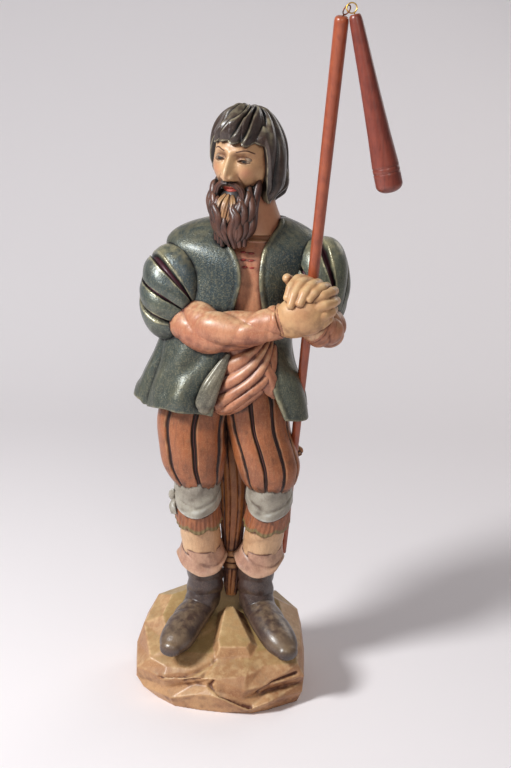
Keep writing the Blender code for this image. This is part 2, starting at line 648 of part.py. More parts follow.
def object_of(name, shells, collection, material=None):
    """One object from closed shells, each with its faces turned outwards."""
    points, faces, start = [], [], 0
    for shell_points, shell_faces in shells:
        points.append(shell_points)
        faces += [tuple(index + start for index in face) for face in shell_faces]
        start += len(shell_points)
    mesh = bpy.data.meshes.new(name)
    mesh.from_pydata(np.vstack(points).tolist(), [], faces)
    work = bmesh.new()
    work.from_mesh(mesh)
    bmesh.ops.recalc_face_normals(work, faces=work.faces)
    work.to_mesh(mesh)
    work.free()
    made = bpy.data.objects.new(name, mesh)
    collection.objects.link(made)
    if material is not None:
        mesh.materials.append(material)
    return made


def baked(made):
    """Applies the modifiers of an object."""
    graph = bpy.context.evaluated_depsgraph_get()
    mesh = bpy.data.meshes.new_from_object(made.evaluated_get(graph))
    made.modifiers.clear()
    old = made.data
    made.data = mesh
    bpy.data.meshes.remove(old)


def cut(made, cutter):
    """Takes a helper's shape out of an object."""
    cutter.hide_render = True
    cutter.display_type = "WIRE"
    step = made.modifiers.new(cutter.name, "BOOLEAN")
    step.operation = "DIFFERENCE"
    step.solver = "EXACT"
    step.object = cutter


def join(made, helper):
    """Adds a helper's shape to an object."""
    helper.hide_render = True
    helper.display_type = "WIRE"
    step = made.modifiers.new(helper.name, "BOOLEAN")
    step.operation = "UNION"
    step.solver = "EXACT"
    step.object = helper


def staff_line():
    """Top and end of the staff's axis, and its direction."""
    grip = place([GRIP_POINT])[0]
    along = unit((STAFF_LEAN_SIDE, STAFF_LEAN_FORWARD, 1.0))
    return grip + along * STAFF_ABOVE_GRIP, grip - along * STAFF_BELOW_GRIP, along


def turned_shape(name, profile, start, along, collection, material=None, steps=20):
    """Solid of revolution that runs from its start: profile rows are (distance along the axis, radius)."""
    rows = [(0.0, 0.0, -profile[0][0])] + [(r, 0.0, -t) for t, r in profile] + [(0.0, 0.0, -profile[-1][0])]
    mesh = bpy.data.meshes.new(name)
    mesh.from_pydata(rows, [(i, i + 1) for i in range(len(rows) - 1)], [])
    made = bpy.data.objects.new(name, mesh)
    collection.objects.link(made)
    if material is not None:
        mesh.materials.append(material)
    spin = made.modifiers.new("turn", "SCREW")
    spin.steps = steps
    spin.render_steps = steps
    spin.use_smooth_shade = True
    spin.use_merge_vertices = True
    spin.merge_threshold = 0.00001
    made.location = Vector(start)
    made.rotation_euler = Vector(-np.array(along)).to_track_quat("Z", "Y").to_euler()
    return made


def adopted(name, collection):
    """Names the primitive just added and moves it to a collection."""
    made = bpy.context.object
    made.name = name
    for old in list(made.users_collection):
        old.objects.unlink(made)
    collection.objects.link(made)
    return made


def flat_cut(made, helpers):
    """Cuts the underside flat at height zero."""
    side = 4 * max(ROCK_WIDTH, ROCK_DEPTH)
    bpy.ops.mesh.primitive_cube_add(size=side, location=(0, 0, -side / 2))
    cut(made, adopted("underside_cut", helpers))


def staff_profile(extra=0.0):
    """Distances down the staff from its top, with radii."""
    length = STAFF_ABOVE_GRIP + STAFF_BELOW_GRIP
    top, end = STAFF_TOP_DIAMETER / 2 + extra, STAFF_END_DIAMETER / 2 + extra
    tip = 0.3 * STAFF_TOP_DIAMETER
    chamfer = 0.08 * STAFF_END_DIAMETER
    rows = [(0.0, 0.72 * top), (0.3 * tip, 0.9 * top), (tip, top)]
    return rows + [(length - chamfer, end), (length, end - chamfer)]


def swipple_profile():
    """Distances down the swipple from its top, with radii: slim neck, two grooves, rounded end."""
    neck, end = SWIPPLE_NECK_DIAMETER / 2, SWIPPLE_END_DIAMETER / 2
    rows = [(0.0, 0.72 * neck), (0.25 * neck, 0.9 * neck), (1.2 * neck, neck)]
    body = SWIPPLE_LENGTH - 0.62 * end
    for share in (0.15, 0.3, 0.5, 0.7):
        rows.append((body * share, neck + (end - neck) * (0.25 * share + 0.85 * share**1.4)))
    first = body - 3.2 * SWIPPLE_GROOVE_SPACING
    width = 0.15 * SWIPPLE_GROOVE_SPACING
    for k in range(2):
        at = first + k * SWIPPLE_GROOVE_SPACING
        rows += [(at - width, end), (at, end - SWIPPLE_GROOVE_DEPTH), (at + width, end)]
    for turn in np.radians((0, 25, 50, 72)):
        rows.append((body + 0.62 * end * math.sin(turn), end * (0.12 + 0.88 * math.cos(turn))))
    return rows


def eye_frame(along, spin):
    """The ring's second direction: across the shank, turned about it."""
    across = unit(np.cross(np.cross(along, (1.0, 0.0, 0.0)), along))
    other = np.cross(along, across)
    return across * math.cos(spin) + other * math.sin(spin)


def screw_eye(name, entry, along, spin, parts, helpers, material):
    """Wire ring on a shank that runs into the wood at the entry point."""
    along = unit(along)
    across = eye_frame(along, spin)
    bpy.ops.mesh.primitive_torus_add(
        major_segments=18, minor_segments=6, major_radius=EYE_RING_RADIUS, minor_radius=EYE_WIRE_RADIUS,
    )
    ring = adopted(name, parts)
    ring.data.materials.append(material)
    turn = Matrix((tuple(along), tuple(across), tuple(np.cross(along, across)))).transposed().to_4x4()
    turn.translation = Vector(entry + along * (EYE_STAND_OFF + EYE_RING_RADIUS))
    ring.matrix_world = turn
    reach = EYE_SHANK_LENGTH + EYE_STAND_OFF
    start = entry - along * EYE_SHANK_LENGTH
    join(ring, rod(name + "_shank", EYE_WIRE_RADIUS, reach, start, along, helpers, 8))


def rod(name, radius, length, start, along, collection, sides):
    """Straight round rod that runs from its start."""
    bpy.ops.mesh.primitive_cylinder_add(vertices=sides, radius=radius, depth=length)
    made = adopted(name, collection)
    made.location = Vector(start + along * length / 2)
    made.rotation_euler = Vector(along).to_track_quat("Z", "Y").to_euler()
    return made


def shank_hole(made, name, entry, along, helpers):
    along = unit(along)
    over = 3 * EYE_WIRE_RADIUS
    length = EYE_SHANK_LENGTH + SHANK_CLEARANCE
    radius = EYE_WIRE_RADIUS + SHANK_CLEARANCE
    cut(made, rod(name, radius, length + over, entry - along * length, along, helpers, 12))


def flail(parts, helpers, figure, red_wood, dark_wood, copper, brass):
    top, end, along = staff_line()
    staff = turned_shape("flail_staff", staff_profile(), top, -along, parts, red_wood, 20)
    channel = turned_shape("staff_channel", staff_profile(GRIP_CLEARANCE), top, -along, helpers, None, 20)
    cut(figure, channel)

    entry = top + np.array(STAFF_EYE_OFFSET) * STAFF_TOP_DIAMETER
    shank_hole(staff, "staff_eye_hole", entry, STAFF_EYE_AXIS, helpers)
    screw_eye("staff_eye", entry, STAFF_EYE_AXIS, STAFF_EYE_SPIN, parts, helpers, copper)

    ring = entry + unit(STAFF_EYE_AXIS) * (EYE_STAND_OFF + EYE_RING_RADIUS)
    other_ring = ring + unit(LINK_DIRECTION) * LINK_SPACING * EYE_RING_RADIUS
    swipple_top = other_ring - unit(SWIPPLE_EYE_AXIS) * (EYE_STAND_OFF + EYE_RING_RADIUS)
    hang = unit(SWIPPLE_HANG)
    swipple = turned_shape("flail_swipple", swipple_profile(), swipple_top, hang, parts, dark_wood, 18)
    shank_hole(swipple, "swipple_eye_hole", swipple_top, SWIPPLE_EYE_AXIS, helpers)
    screw_eye("swipple_eye", swipple_top, SWIPPLE_EYE_AXIS, SWIPPLE_EYE_SPIN, parts, helpers, brass)


def main():
    for old in list(bpy.data.objects):
        bpy.data.objects.remove(old, do_unlink=True)
    parts = collection_of("wooden_saint_statue")
    helpers = collection_of("cutters")
    paint = material_of("painted_wood", (0.32, 0.24, 0.16), 0.45)
    red_wood = material_of("stained_rod", (0.36, 0.12, 0.06), 0.4)
    dark_wood = material_of("stained_swipple", (0.24, 0.08, 0.045), 0.4)
    copper = material_of("dark_copper", (0.35, 0.2, 0.12), 0.35, 1.0)
    brass = material_of("brass", (0.72, 0.52, 0.2), 0.25, 1.0)

    body = legs() + [stack(SHIRT, 30, 48), stack(BLOUSE, 34, 60, blouse_relief), jacket()]
    body.append(sweep(BLOUSE_TAIL, 14, 18, None, (0, 1, 0), 0.7, 0.6))
    body.append(sweep(TURNED_CORNER, 14, 18, None, (0, 1, 0), 0.8, 0.5))
    body += arms() + hands() + [head(), stack(NECK, 10, 28), hair()] + beard() + sheaf()
    shells = [(place(points), faces) for points, faces in body]
    figure = object_of("figure", shells, parts, paint)
    union = figure.modifiers.new("carve", "REMESH")
    union.mode = "VOXEL"
    union.voxel_size = CARVE_VOXEL * UNIT
    baked(figure)
    fewer = figure.modifiers.new("facets", "DECIMATE")
    fewer.ratio = FIGURE_TRIANGLES / (2 * len(figure.data.polygons))
    baked(figure)
    for number, (points, faces) in enumerate(rock()):
        block = object_of(f"rock_{number}", [(place_rock(points), faces)], helpers)
        join(figure, block)
    flat_cut(figure, helpers)
    flail(parts, helpers, figure, red_wood, dark_wood, copper, brass)


main()
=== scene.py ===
"""Looks of the carved and painted thresher figure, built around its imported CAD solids."""

import math

import bmesh
import bpy
import numpy as np
from mathutils import Matrix, Vector
from mathutils.bvhtree import BVHTree


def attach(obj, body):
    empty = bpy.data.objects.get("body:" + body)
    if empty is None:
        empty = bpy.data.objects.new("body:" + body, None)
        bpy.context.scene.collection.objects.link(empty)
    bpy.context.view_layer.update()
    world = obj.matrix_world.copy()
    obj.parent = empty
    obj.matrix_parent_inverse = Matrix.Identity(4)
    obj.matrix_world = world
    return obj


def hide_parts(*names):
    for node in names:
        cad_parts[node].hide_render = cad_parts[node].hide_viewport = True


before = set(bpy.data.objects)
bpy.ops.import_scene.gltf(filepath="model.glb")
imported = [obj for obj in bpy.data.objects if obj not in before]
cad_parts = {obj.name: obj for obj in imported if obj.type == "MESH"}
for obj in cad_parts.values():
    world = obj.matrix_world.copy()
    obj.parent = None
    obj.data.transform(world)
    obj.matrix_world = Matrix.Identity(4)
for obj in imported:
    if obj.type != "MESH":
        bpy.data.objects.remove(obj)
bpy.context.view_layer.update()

# Driving sizes, in metres
FIGURE_HEIGHT = 0.535
ROCK_HEIGHT = 0.065
ROCK_WIDTH = 0.179
ROCK_DEPTH = 0.150
STAFF_ABOVE_GRIP = 0.2505
STAFF_BELOW_GRIP = 0.3090
STAFF_TOP_DIAMETER = 0.0120
STAFF_END_DIAMETER = 0.0070
SWIPPLE_LENGTH = 0.1450
SWIPPLE_NECK_DIAMETER = 0.0112
SWIPPLE_END_DIAMETER = 0.0235
SWIPPLE_GROOVE_DEPTH = 0.0005
SWIPPLE_GROOVE_SPACING = 0.0045
# Height of the swipple's rounded end as a share of its radius, and a little left off that radius
SWIPPLE_DOME = 0.62
ROUND_SPARE = 0.0004
EYE_RING_RADIUS = 0.0041
EYE_WIRE_RADIUS = 0.00055
EYE_SHANK_LENGTH = 0.0110
EYE_STAND_OFF = 0.0016

# The carving is drawn in units of a figure 535 units tall on rock 65 units high
DRAWN_ROCK = (179.0, 150.0, 65.0)
UNIT = FIGURE_HEIGHT / 535.0
# How square the cross sections are: 2 is an ellipse
BODY_SQUARE = 2.3
PUFF_SQUARE = 2.4
JACKET_SQUARE = 2.3

# Staff line through the hands, and how the two screw eyes stand and link
GRIP_POINT = (75.5, -55.0, 430.0)
STAFF_LEAN = (0.0443, -0.29, 1.0)
STAFF_EYE_AXIS = (0.5, 0.0, 0.87)
STAFF_EYE_OFFSET = (0.06, 0.0, 0.0)
STAFF_EYE_SPIN = 120.0
SWIPPLE_EYE_AXIS = (-0.45, 0.2, 0.84)
SWIPPLE_EYE_SPIN = 170.0
LINK_DIRECTION = (0.86, -0.37, 0.34)
LINK_SPACING = 1.1
SWIPPLE_HANG = (0.262, 0.0, -0.965)

# Camera angles in degrees, its focal length as a share of the picture's height, and its place
CAMERA_PITCH = 15.4
CAMERA_ROLL = 2.0
CAMERA_FOCUS = 1100 / 768
CAMERA_PLACE = (0.027, -1.056, 0.618)
SENSOR_WIDTH = 36.0

# Lamps with their place, the point that they face, size, power and colour
LAMPS = {
    "window": ((-1.25, -0.95, 1.45), (0, 0, 0.35), 0.42, 42, (0.95, 0.98, 1.0)),
    "front": ((0.25, -1.8, 1.3), (0, 0, 0.35), 0.6, 5, (1.0, 0.95, 0.89)),
    "back": ((1.2, 1.1, 1.3), (0, 0, 0.4), 1.0, 5, (1.0, 0.97, 0.93)),
}
SKY_COLOR = (0.90, 0.93, 1.0, 1)
SKY_STRENGTH = 0.20

# Floor, which curves up from a line behind the figure
FLOOR_COLOR = (0.96, 0.90, 0.90, 1)
FLOOR_ROUGHNESS = 0.8
FLOOR_SIZE = 12.0
FLOOR_ROWS = 120
FLOOR_CURVE_START = 0.9
FLOOR_CURVE = 0.9


# Camera, floor and light

def camera():
    """Stands in front, just over the level of the crown, and looks down."""
    pitch, roll = math.radians(CAMERA_PITCH), math.radians(CAMERA_ROLL)
    up = Vector((0, math.sin(pitch), math.cos(pitch)))
    forward = Vector((0, math.cos(pitch), -math.sin(pitch)))
    right = Vector((1, 0, 0))
    turned_right = right * math.cos(roll) + up * math.sin(roll)
    turned_up = up * math.cos(roll) - right * math.sin(roll)
    data = bpy.data.cameras.new("camera")
    data.sensor_width = SENSOR_WIDTH
    data.lens = SENSOR_WIDTH * CAMERA_FOCUS
    made = bpy.data.objects.new("camera", data)
    bpy.context.scene.collection.objects.link(made)
    place_camera = Matrix((turned_right, turned_up, -forward)).transposed().to_4x4()
    place_camera.translation = CAMERA_PLACE
    made.matrix_world = place_camera
    bpy.context.scene.camera = made


def lamp(name, place_at, aim, size, power, color):
    data = bpy.data.lights.new(name, "AREA")
    data.shape = "DISK"
    data.size = size
    data.energy = power
    data.color = color
    made = bpy.data.objects.new(name, data)
    bpy.context.scene.collection.objects.link(made)
    made.location = place_at
    made.rotation_euler = (Vector(aim) - Vector(place_at)).to_track_quat("-Z", "Y").to_euler()


def studio():
    scene = bpy.context.scene
    scene.view_settings.view_transform = "Standard"
    world = bpy.data.worlds.new("studio")
    world.use_nodes = True
    world.node_tree.nodes["Background"].inputs["Color"].default_value = SKY_COLOR
    world.node_tree.nodes["Background"].inputs["Strength"].default_value = SKY_STRENGTH
    scene.world = world
    for name, settings in LAMPS.items():
        lamp(name, *settings)
    bpy.ops.mesh.primitive_grid_add(x_subdivisions=2, y_subdivisions=FLOOR_ROWS, size=FLOOR_SIZE)
    floor = bpy.context.object
    floor.name = "floor"
    for vertex in floor.data.vertices:
        back = max(0.0, vertex.co.y - FLOOR_CURVE_START)
        vertex.co.z = FLOOR_CURVE * back * back
    floor.data.shade_smooth()
    cloth = bpy.data.materials.new("pale_floor")
    cloth.use_nodes = True
    shader = cloth.node_tree.nodes["Principled BSDF"]
    shader.inputs["Base Color"].default_value = FLOOR_COLOR
    shader.inputs["Roughness"].default_value = FLOOR_ROUGHNESS
    floor.data.materials.append(cloth)


camera()
studio()


# Shape helpers

def smooth(edge0, edge1, x):
    t = np.clip((x - edge0) / (edge1 - edge0), 0.0, 1.0)
    return t * t * (3.0 - 2.0 * t)


def bell(x, centre, width):
    return np.exp(-(((x - centre) / width) ** 2))


def unit(vector):
    vector = np.array(vector, float)
    return vector / np.linalg.norm(vector)


def place(points):
    """Drawing units of the figure to metres, standing on the rock."""
    out = np.array(points, float) * UNIT
    out[:, 2] += ROCK_HEIGHT - DRAWN_ROCK[2] * UNIT
    return out


def to_drawing(points):
    """Metres back to drawing units of the figure."""
    return (points - (0, 0, ROCK_HEIGHT)) / UNIT + (0, 0, DRAWN_ROCK[2])


def place_rock(points):
    """Drawing units of the rock to metres."""
    return np.array(points, float) * (
        ROCK_WIDTH / DRAWN_ROCK[0], ROCK_DEPTH / DRAWN_ROCK[1], ROCK_HEIGHT / DRAWN_ROCK[2],
    )


def spline(keys, count):
    """Smooth curve through rows of keys, read at even steps."""
    keys = np.array(keys, float)
    ends = np.vstack([2 * keys[0] - keys[1], keys, 2 * keys[-1] - keys[-2]])
    t = np.linspace(0, len(keys) - 1, count)
    i = np.minimum(t.astype(int), len(keys) - 2)
    f = (t - i)[:, None]
    a, b, c, d = ends[i], ends[i + 1], ends[i + 2], ends[i + 3]
    return 0.5 * (
        2 * b + (c - a) * f + (2 * a - 5 * b + 4 * c - d) * f**2 + (3 * b - a - 3 * c + d) * f**3
    )


def grid_faces(count, around):
    """Quads between rows that each run once round."""
    low = np.arange(count - 1)[:, None] * around
    j = np.arange(around)[None, :]
    k = (j + 1) % around
    quads = np.stack([low + j, low + k, low + around + k, low + around + j], -1)
    return quads.reshape(-1, 4).tolist()


def skin(rows, marks=None):
    """Closed surface over rows of points that each run once round, with a fan at both ends.

    marks holds a paint mask for each point of the rows.
    """
    rows = np.array(rows, float)
    count, around = rows.shape[:2]
    points = np.vstack([rows.reshape(-1, 3), rows[0].mean(0), rows[-1].mean(0)])
    faces = grid_faces(count, around)
    first, last = count * around, count * around + 1
    for j in range(around):
        k = (j + 1) % around
        faces.append((first, k, j))
        faces.append((last, (count - 1) * around + j, (count - 1) * around + k))
    mask = np.zeros(len(points))
    if marks is not None:
        mask[:first] = np.array(marks, float).reshape(-1)
    return points, faces, mask


def stack(keys, rows, around, relief=None, square=BODY_SQUARE, mark=None):
    """Upright form through sections (z, centre x, centre y, half width, half depth).

    relief(angle, z, share) gives a factor on the radius and mark(angle, z, share) a paint mask;
    angle -pi/2 faces forward.
    """
    angle = np.linspace(0, 2 * math.pi, around, endpoint=False)
    c, s = np.cos(angle), np.sin(angle)
    out, marks = [], []
    for i, (z, cx, cy, hw, hd) in enumerate(spline(keys, rows)):
        share = i / (rows - 1)
        r = (np.abs(c) ** square + np.abs(s) ** square) ** (-1.0 / square)
        if relief is not None:
            r = r * relief(angle, z, share)
        out.append(np.stack([cx + hw * r * c, cy + hd * r * s, z + np.zeros(around)], 1))
        marks.append(np.zeros(around) if mark is None else mark(angle, z, share))
    return skin(out, marks)


def frames(path, up):
    """Tangent and two normals along a path."""
    tangent = np.gradient(path, axis=0)
    tangent /= np.linalg.norm(tangent, axis=1)[:, None]
    side = np.cross(tangent, np.array(up, float))
    side /= np.linalg.norm(side, axis=1)[:, None]
    return tangent, side, np.cross(side, tangent)


def sweep(keys, rows, around, up, dome, relief=None, flat=1.0):
    """Rounded limb along keys (x, y, z, radius), with domed ends.

    relief(angle, share) gives a factor on the radius; flat narrows the limb along the second normal.
    """
    line = spline(keys, rows)
    path, radius = line[:, :3], np.maximum(line[:, 3], 0.3)
    tangent, side, lift = frames(path, up)
    angle = np.linspace(0, 2 * math.pi, around, endpoint=False)
    c, s = np.cos(angle)[:, None], np.sin(angle)[:, None] * flat

    def section(i, scale, along):
        r = radius[i] * scale
        if relief is not None:
            r = r * relief(angle, i / (rows - 1))[:, None]
        return path[i] + tangent[i] * along + r * (c * side[i] + s * lift[i])

    last = rows - 1
    low_caps = (0.25, 0.5, 0.75, 0.93)
    out = [section(0, f, -radius[0] * dome * math.sqrt(1 - f * f)) for f in low_caps]
    out += [section(i, 1.0, 0.0) for i in range(rows)]
    out += [section(last, f, radius[last] * dome * math.sqrt(1 - f * f)) for f in low_caps[::-1]]
    return skin(out)


def puff(centre, sizes, axis, rows, around, relief, mark):
    """Puffed form about a centre; its relief and paint mask follow the lines from pole to pole."""
    axis = unit(axis)
    first = unit(np.cross(axis, (0, 1, 0)))
    second = np.cross(axis, first)
    angle = np.linspace(0, 2 * math.pi, around, endpoint=False)
    ring = np.cos(angle)[:, None] * first + np.sin(angle)[:, None] * second
    out, marks = [], []
    for share in np.linspace(0.01, 0.99, rows):
        way = math.sin(share * math.pi) * ring - math.cos(share * math.pi) * axis
        radius = (np.abs(way / sizes) ** PUFF_SQUARE).sum(1) ** (-1 / PUFF_SQUARE) * relief(angle, share)
        out.append(np.array(centre) + way * radius[:, None])
        marks.append(mark(angle, share))
    return skin(out, marks)


def ball(centre, radii, rows, around, axes=None):
    """Rounded body about a centre, with its radii along the given axes."""
    angle = np.linspace(0, 2 * math.pi, around, endpoint=False)
    out = []
    for v in np.linspace(0.06, math.pi - 0.06, rows):
        level = np.full(around, math.cos(v))
        out.append(np.stack([math.sin(v) * np.cos(angle), math.sin(v) * np.sin(angle), level], 1) * radii)
    out = np.array(out)
    if axes is not None:
        out = out @ np.array(axes)
    return skin(out + np.array(centre))


# Pieces

def even_out(values, edges, times):
    """Averages values over the mesh's edges, so many times."""
    a, b = edges.T
    count = len(values)
    degree = np.bincount(a, minlength=count) + np.bincount(b, minlength=count)
    degree = np.maximum(degree, 1)
    values = values.reshape(count, -1).copy()
    for _ in range(times):
        for k in range(values.shape[1]):
            column = values[:, k]
            total = np.bincount(a, column[b], count) + np.bincount(b, column[a], count)
            values[:, k] = 0.4 * column + 0.6 * total / degree
    return values


def face_outwards(mesh):
    work = bmesh.new()
    work.from_mesh(mesh)
    bmesh.ops.recalc_face_normals(work, faces=work.faces)
    work.to_mesh(mesh)
    work.free()


def mesh_arrays(mesh):
    points = np.empty(len(mesh.vertices) * 3)
    mesh.vertices.foreach_get("co", points)
    normals = np.empty(len(mesh.vertices) * 3)
    mesh.vertices.foreach_get("normal", normals)
    edges = np.empty(len(mesh.edges) * 2, np.int64)
    mesh.edges.foreach_get("vertices", edges)
    return points.reshape(-1, 3), normals.reshape(-1, 3), edges.reshape(-1, 2)


def set_mark(mesh, name, values):
    found = mesh.attributes.get(name) or mesh.attributes.new(name, "FLOAT", "POINT")
    found.data.foreach_set("value", np.clip(values, 0, 1).astype(np.float32))


# How far each height mask looks over the surface in mm, with its most rounds of averaging
NEAR_LOOK = (1.1, 24)
FAR_LOOK = (4.0, 150)


def mark_relief(mesh, fine=0.45, wide=1.8):
    """Masks for hollows, ridges and upward faces, from each point's height over its surroundings in mm."""
    points, normals, edges = mesh_arrays(mesh)
    points = points * 1000
    grain = np.linalg.norm(points[edges[:, 0]] - points[edges[:, 1]], axis=1).mean()
    heights = []
    for (reach, most), full in ((NEAR_LOOK, fine), (FAR_LOOK, wide)):
        times = int(np.clip((reach / grain) ** 2, 3, most))
        heights.append(((points - even_out(points, edges, times)) * normals).sum(1) / full)
    hollow = sum(0.65 * np.clip(-height, 0, 1) for height in heights)
    ridge = sum(0.6 * np.clip(height, 0, 1) for height in heights)
    # The upward-face mask sets where painted light falls on faces turned up and painted shade on faces turned
    # down
    for name, values in (("hollow", hollow), ("ridge", ridge), ("upper", 0.5 + 0.5 * normals[:, 2])):
        set_mark(mesh, name, even_out(values, edges, 2)[:, 0])


def baked(made):
    """Applies the modifiers of an object."""
    graph = bpy.context.evaluated_depsgraph_get()
    mesh = bpy.data.meshes.new_from_object(made.evaluated_get(graph))
    made.modifiers.clear()
    old = made.data
    made.data = mesh
    bpy.data.meshes.remove(old)


def planting_tree():
    """Node tree that sets one small shape on every point, turned by the point's own directions."""
    tree = bpy.data.node_groups.new("planting", "GeometryNodeTree")
    face = tree.interface
    face.new_socket("Geometry", in_out="INPUT", socket_type="NodeSocketGeometry")
    kinds = (
        ("Shape", "Object"), ("Size", "Float"), ("Unevenness", "Float"), ("Seed", "Int"),
        ("Paint", "Material"),
    )
    for name, kind in kinds:
        face.new_socket(name, in_out="INPUT", socket_type=f"NodeSocket{kind}")
    face.new_socket("Geometry", in_out="OUTPUT", socket_type="NodeSocketGeometry")
    nodes, links = tree.nodes, tree.links
    given, out = nodes.new("NodeGroupInput"), nodes.new("NodeGroupOutput")
    shape = nodes.new("GeometryNodeObjectInfo")
    links.new(given.outputs["Shape"], shape.inputs["Object"])
    turned_by = None
    for name, axis in (("way", "Z"), ("outward", "X")):
        direction = nodes.new("GeometryNodeInputNamedAttribute")
        direction.data_type = "FLOAT_VECTOR"
        direction.inputs["Name"].default_value = name
        align = nodes.new("FunctionNodeAlignRotationToVector")
        align.axis = axis
        align.pivot_axis = "AUTO" if turned_by is None else "Z"
        links.new(direction.outputs["Attribute"], align.inputs["Vector"])
        if turned_by is not None:
            links.new(turned_by, align.inputs["Rotation"])
        turned_by = align.outputs["Rotation"]
    least = nodes.new("ShaderNodeMath")
    least.operation = "SUBTRACT"
    least.inputs[0].default_value = 1.0
    links.new(given.outputs["Unevenness"], least.inputs[1])
    most = nodes.new("ShaderNodeMath")
    most.inputs[0].default_value = 1.0
    links.new(given.outputs["Unevenness"], most.inputs[1])
    vary = nodes.new("FunctionNodeRandomValue")
    links.new(least.outputs[0], vary.inputs[2])
    links.new(most.outputs[0], vary.inputs[3])
    links.new(given.outputs["Seed"], vary.inputs["Seed"])
    size = nodes.new("ShaderNodeMath")
    size.operation = "MULTIPLY"
    links.new(vary.outputs[1], size.inputs[0])
    links.new(given.outputs["Size"], size.inputs[1])
    plant = nodes.new("GeometryNodeInstanceOnPoints")
    links.new(given.outputs["Geometry"], plant.inputs["Points"])
    links.new(shape.outputs["Geometry"], plant.inputs["Instance"])
    links.new(turned_by, plant.inputs["Rotation"])
    links.new(size.outputs[0], plant.inputs["Scale"])
    real = nodes.new("GeometryNodeRealizeInstances")
    links.new(plant.outputs["Instances"], real.inputs["Geometry"])
    coat = nodes.new("GeometryNodeSetMaterial")
    links.new(real.outputs["Geometry"], coat.inputs["Geometry"])
    links.new(given.outputs["Paint"], coat.inputs["Material"])
    links.new(coat.outputs["Geometry"], out.inputs["Geometry"])
    return tree


PLANTING = planting_tree()
made_pieces = []


def planted(name, spots, ways, outwards, shape, size, unevenness, seed, material):
    """One piece of small shapes set on spots, each with its length along a way and its face outwards."""
    small = bpy.data.meshes.new(name + "_shape")
    points, faces = shape
    small.from_pydata((np.array(points) * UNIT).tolist(), [], faces)
    face_outwards(small)
    helper = bpy.data.objects.new(name + "_shape", small)
    mesh = bpy.data.meshes.new(name)
    mesh.from_pydata(place(spots).tolist(), [], [])
    for attribute, values in (("way", ways), ("outward", outwards)):
        held = mesh.attributes.new(attribute, "FLOAT_VECTOR", "POINT")
        held.data.foreach_set("vector", np.array(values, np.float32).reshape(-1))
    made = bpy.data.objects.new(name, mesh)
    bpy.context.scene.collection.objects.link(made)
    step = made.modifiers.new("planting", "NODES")
    step.node_group = PLANTING
    sockets = {item.name: item.identifier for item in PLANTING.interface.items_tree if item.in_out == "INPUT"}
    chosen = {"Shape": helper, "Size": size, "Unevenness": unevenness, "Seed": seed, "Paint": material}
    for socket, value in chosen.items():
        step[sockets[socket]] = value
    baked(made)
    bpy.data.objects.remove(helper, do_unlink=True)
    set_mark(made.data, "zone", np.zeros(len(made.data.vertices)))
    mark_relief(made.data)
    made.data.shade_smooth()
    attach(made, "root")
    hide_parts("figure")
    made_pieces.append(made)


def piece(name, shells, material, node="figure", voxel=None, relax=2,
          carve=None, to_metres=place, fine=0.45, wide=1.8):
    """One finished piece from closed shells.

    voxel joins the shells into one carved surface with that grain, in mm; relax evens it;
    carve(points) gives a depth along the normals, in drawing units.
    """
    points, faces, marks, start = [], [], [], 0
    for shell_points, shell_faces, shell_marks in shells:
        points.append(shell_points)
        marks.append(shell_marks)
        faces += [tuple(index + start for index in face) for face in shell_faces]
        start += len(shell_points)
    mesh = bpy.data.meshes.new(name)
    mesh.from_pydata(to_metres(np.vstack(points)).tolist(), [], faces)
    face_outwards(mesh)
    made = bpy.data.objects.new(name, mesh)
    bpy.context.scene.collection.objects.link(made)
    set_mark(mesh, "zone", np.concatenate(marks))
    if voxel is not None:
        union = made.modifiers.new("carve", "REMESH")
        union.mode = "VOXEL"
        union.voxel_size = voxel / 1000
        even = made.modifiers.new("even", "SMOOTH")
        even.factor = 0.5
        even.iterations = relax
        baked(made)
    if carve is not None:
        points, normals, _ = mesh_arrays(made.data)
        points = points + normals * (carve(to_drawing(points)) * UNIT)[:, None]
        made.data.vertices.foreach_set("co", points.reshape(-1))
        made.data.update()
    mark_relief(made.data, fine, wide)
    made.data.shade_smooth()
    made.data.materials.clear()
    made.data.materials.append(material)
    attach(made, "root")
    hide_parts(node)
    made_pieces.append(made)
    return made


def mark_shade(reach=0.014, rays=10, every=3):
    """Mask for how deeply each place lies among its surroundings, where painted shade is laid, together with
    the dark glaze that gathers there.
    """
    points, faces, start = [], [], 0
    for made in made_pieces:
        own, _, _ = mesh_arrays(made.data)
        points.append(own)
        faces += [[index + start for index in face.vertices] for face in made.data.polygons]
        start += len(own)
    tree = BVHTree.FromPolygons(np.vstack(points).tolist(), faces)
    turn = np.arange(rays) * math.pi * (3 - math.sqrt(5))
    radius = np.sqrt((np.arange(rays) + 0.5) / rays)
    fan = np.stack([radius * np.cos(turn), radius * np.sin(turn), np.sqrt(1 - radius**2)], 1)
    for made in made_pieces:
        own, normals, edges = mesh_arrays(made.data)
        picked = np.arange(0, len(own), every)
        first = np.cross(normals[picked], (0.36, 0.48, 0.8))
        first /= np.maximum(np.linalg.norm(first, axis=1), 1e-6)[:, None]
        second = np.cross(normals[picked], first)
        spin = picked * 2.4
        side = first * np.cos(spin)[:, None] + second * np.sin(spin)[:, None]
        other = np.cross(normals[picked], side)
        begin = own[picked] + normals[picked] * 0.0002
        blocked = np.zeros(len(picked))
        for a, b, c in fan:
            ways = a * side + b * other + c * normals[picked]
            for i, (origin, way) in enumerate(zip(begin.tolist(), ways.tolist())):
                distance = tree.ray_cast(origin, way, reach)[3]
                if distance is not None:
                    blocked[i] += 1 - distance / reach
        known = np.zeros(len(own))
        known[picked] = 1.0
        value = np.zeros(len(own))
        value[picked] = blocked / rays
        both = even_out(np.stack([value, known], 1), edges, 4)
        set_mark(made.data, "shade", both[:, 0] / np.maximum(both[:, 1], 1e-3))


# Materials

def tone(red, green, blue):
    """A screen colour, 0 to 255, as linear light."""
    values = np.array([red, green, blue]) / 255.0
    linear = np.where(values <= 0.04045, values / 12.92, ((values + 0.055) / 1.055) ** 2.4)
    return (*[float(v) for v in linear], 1.0)


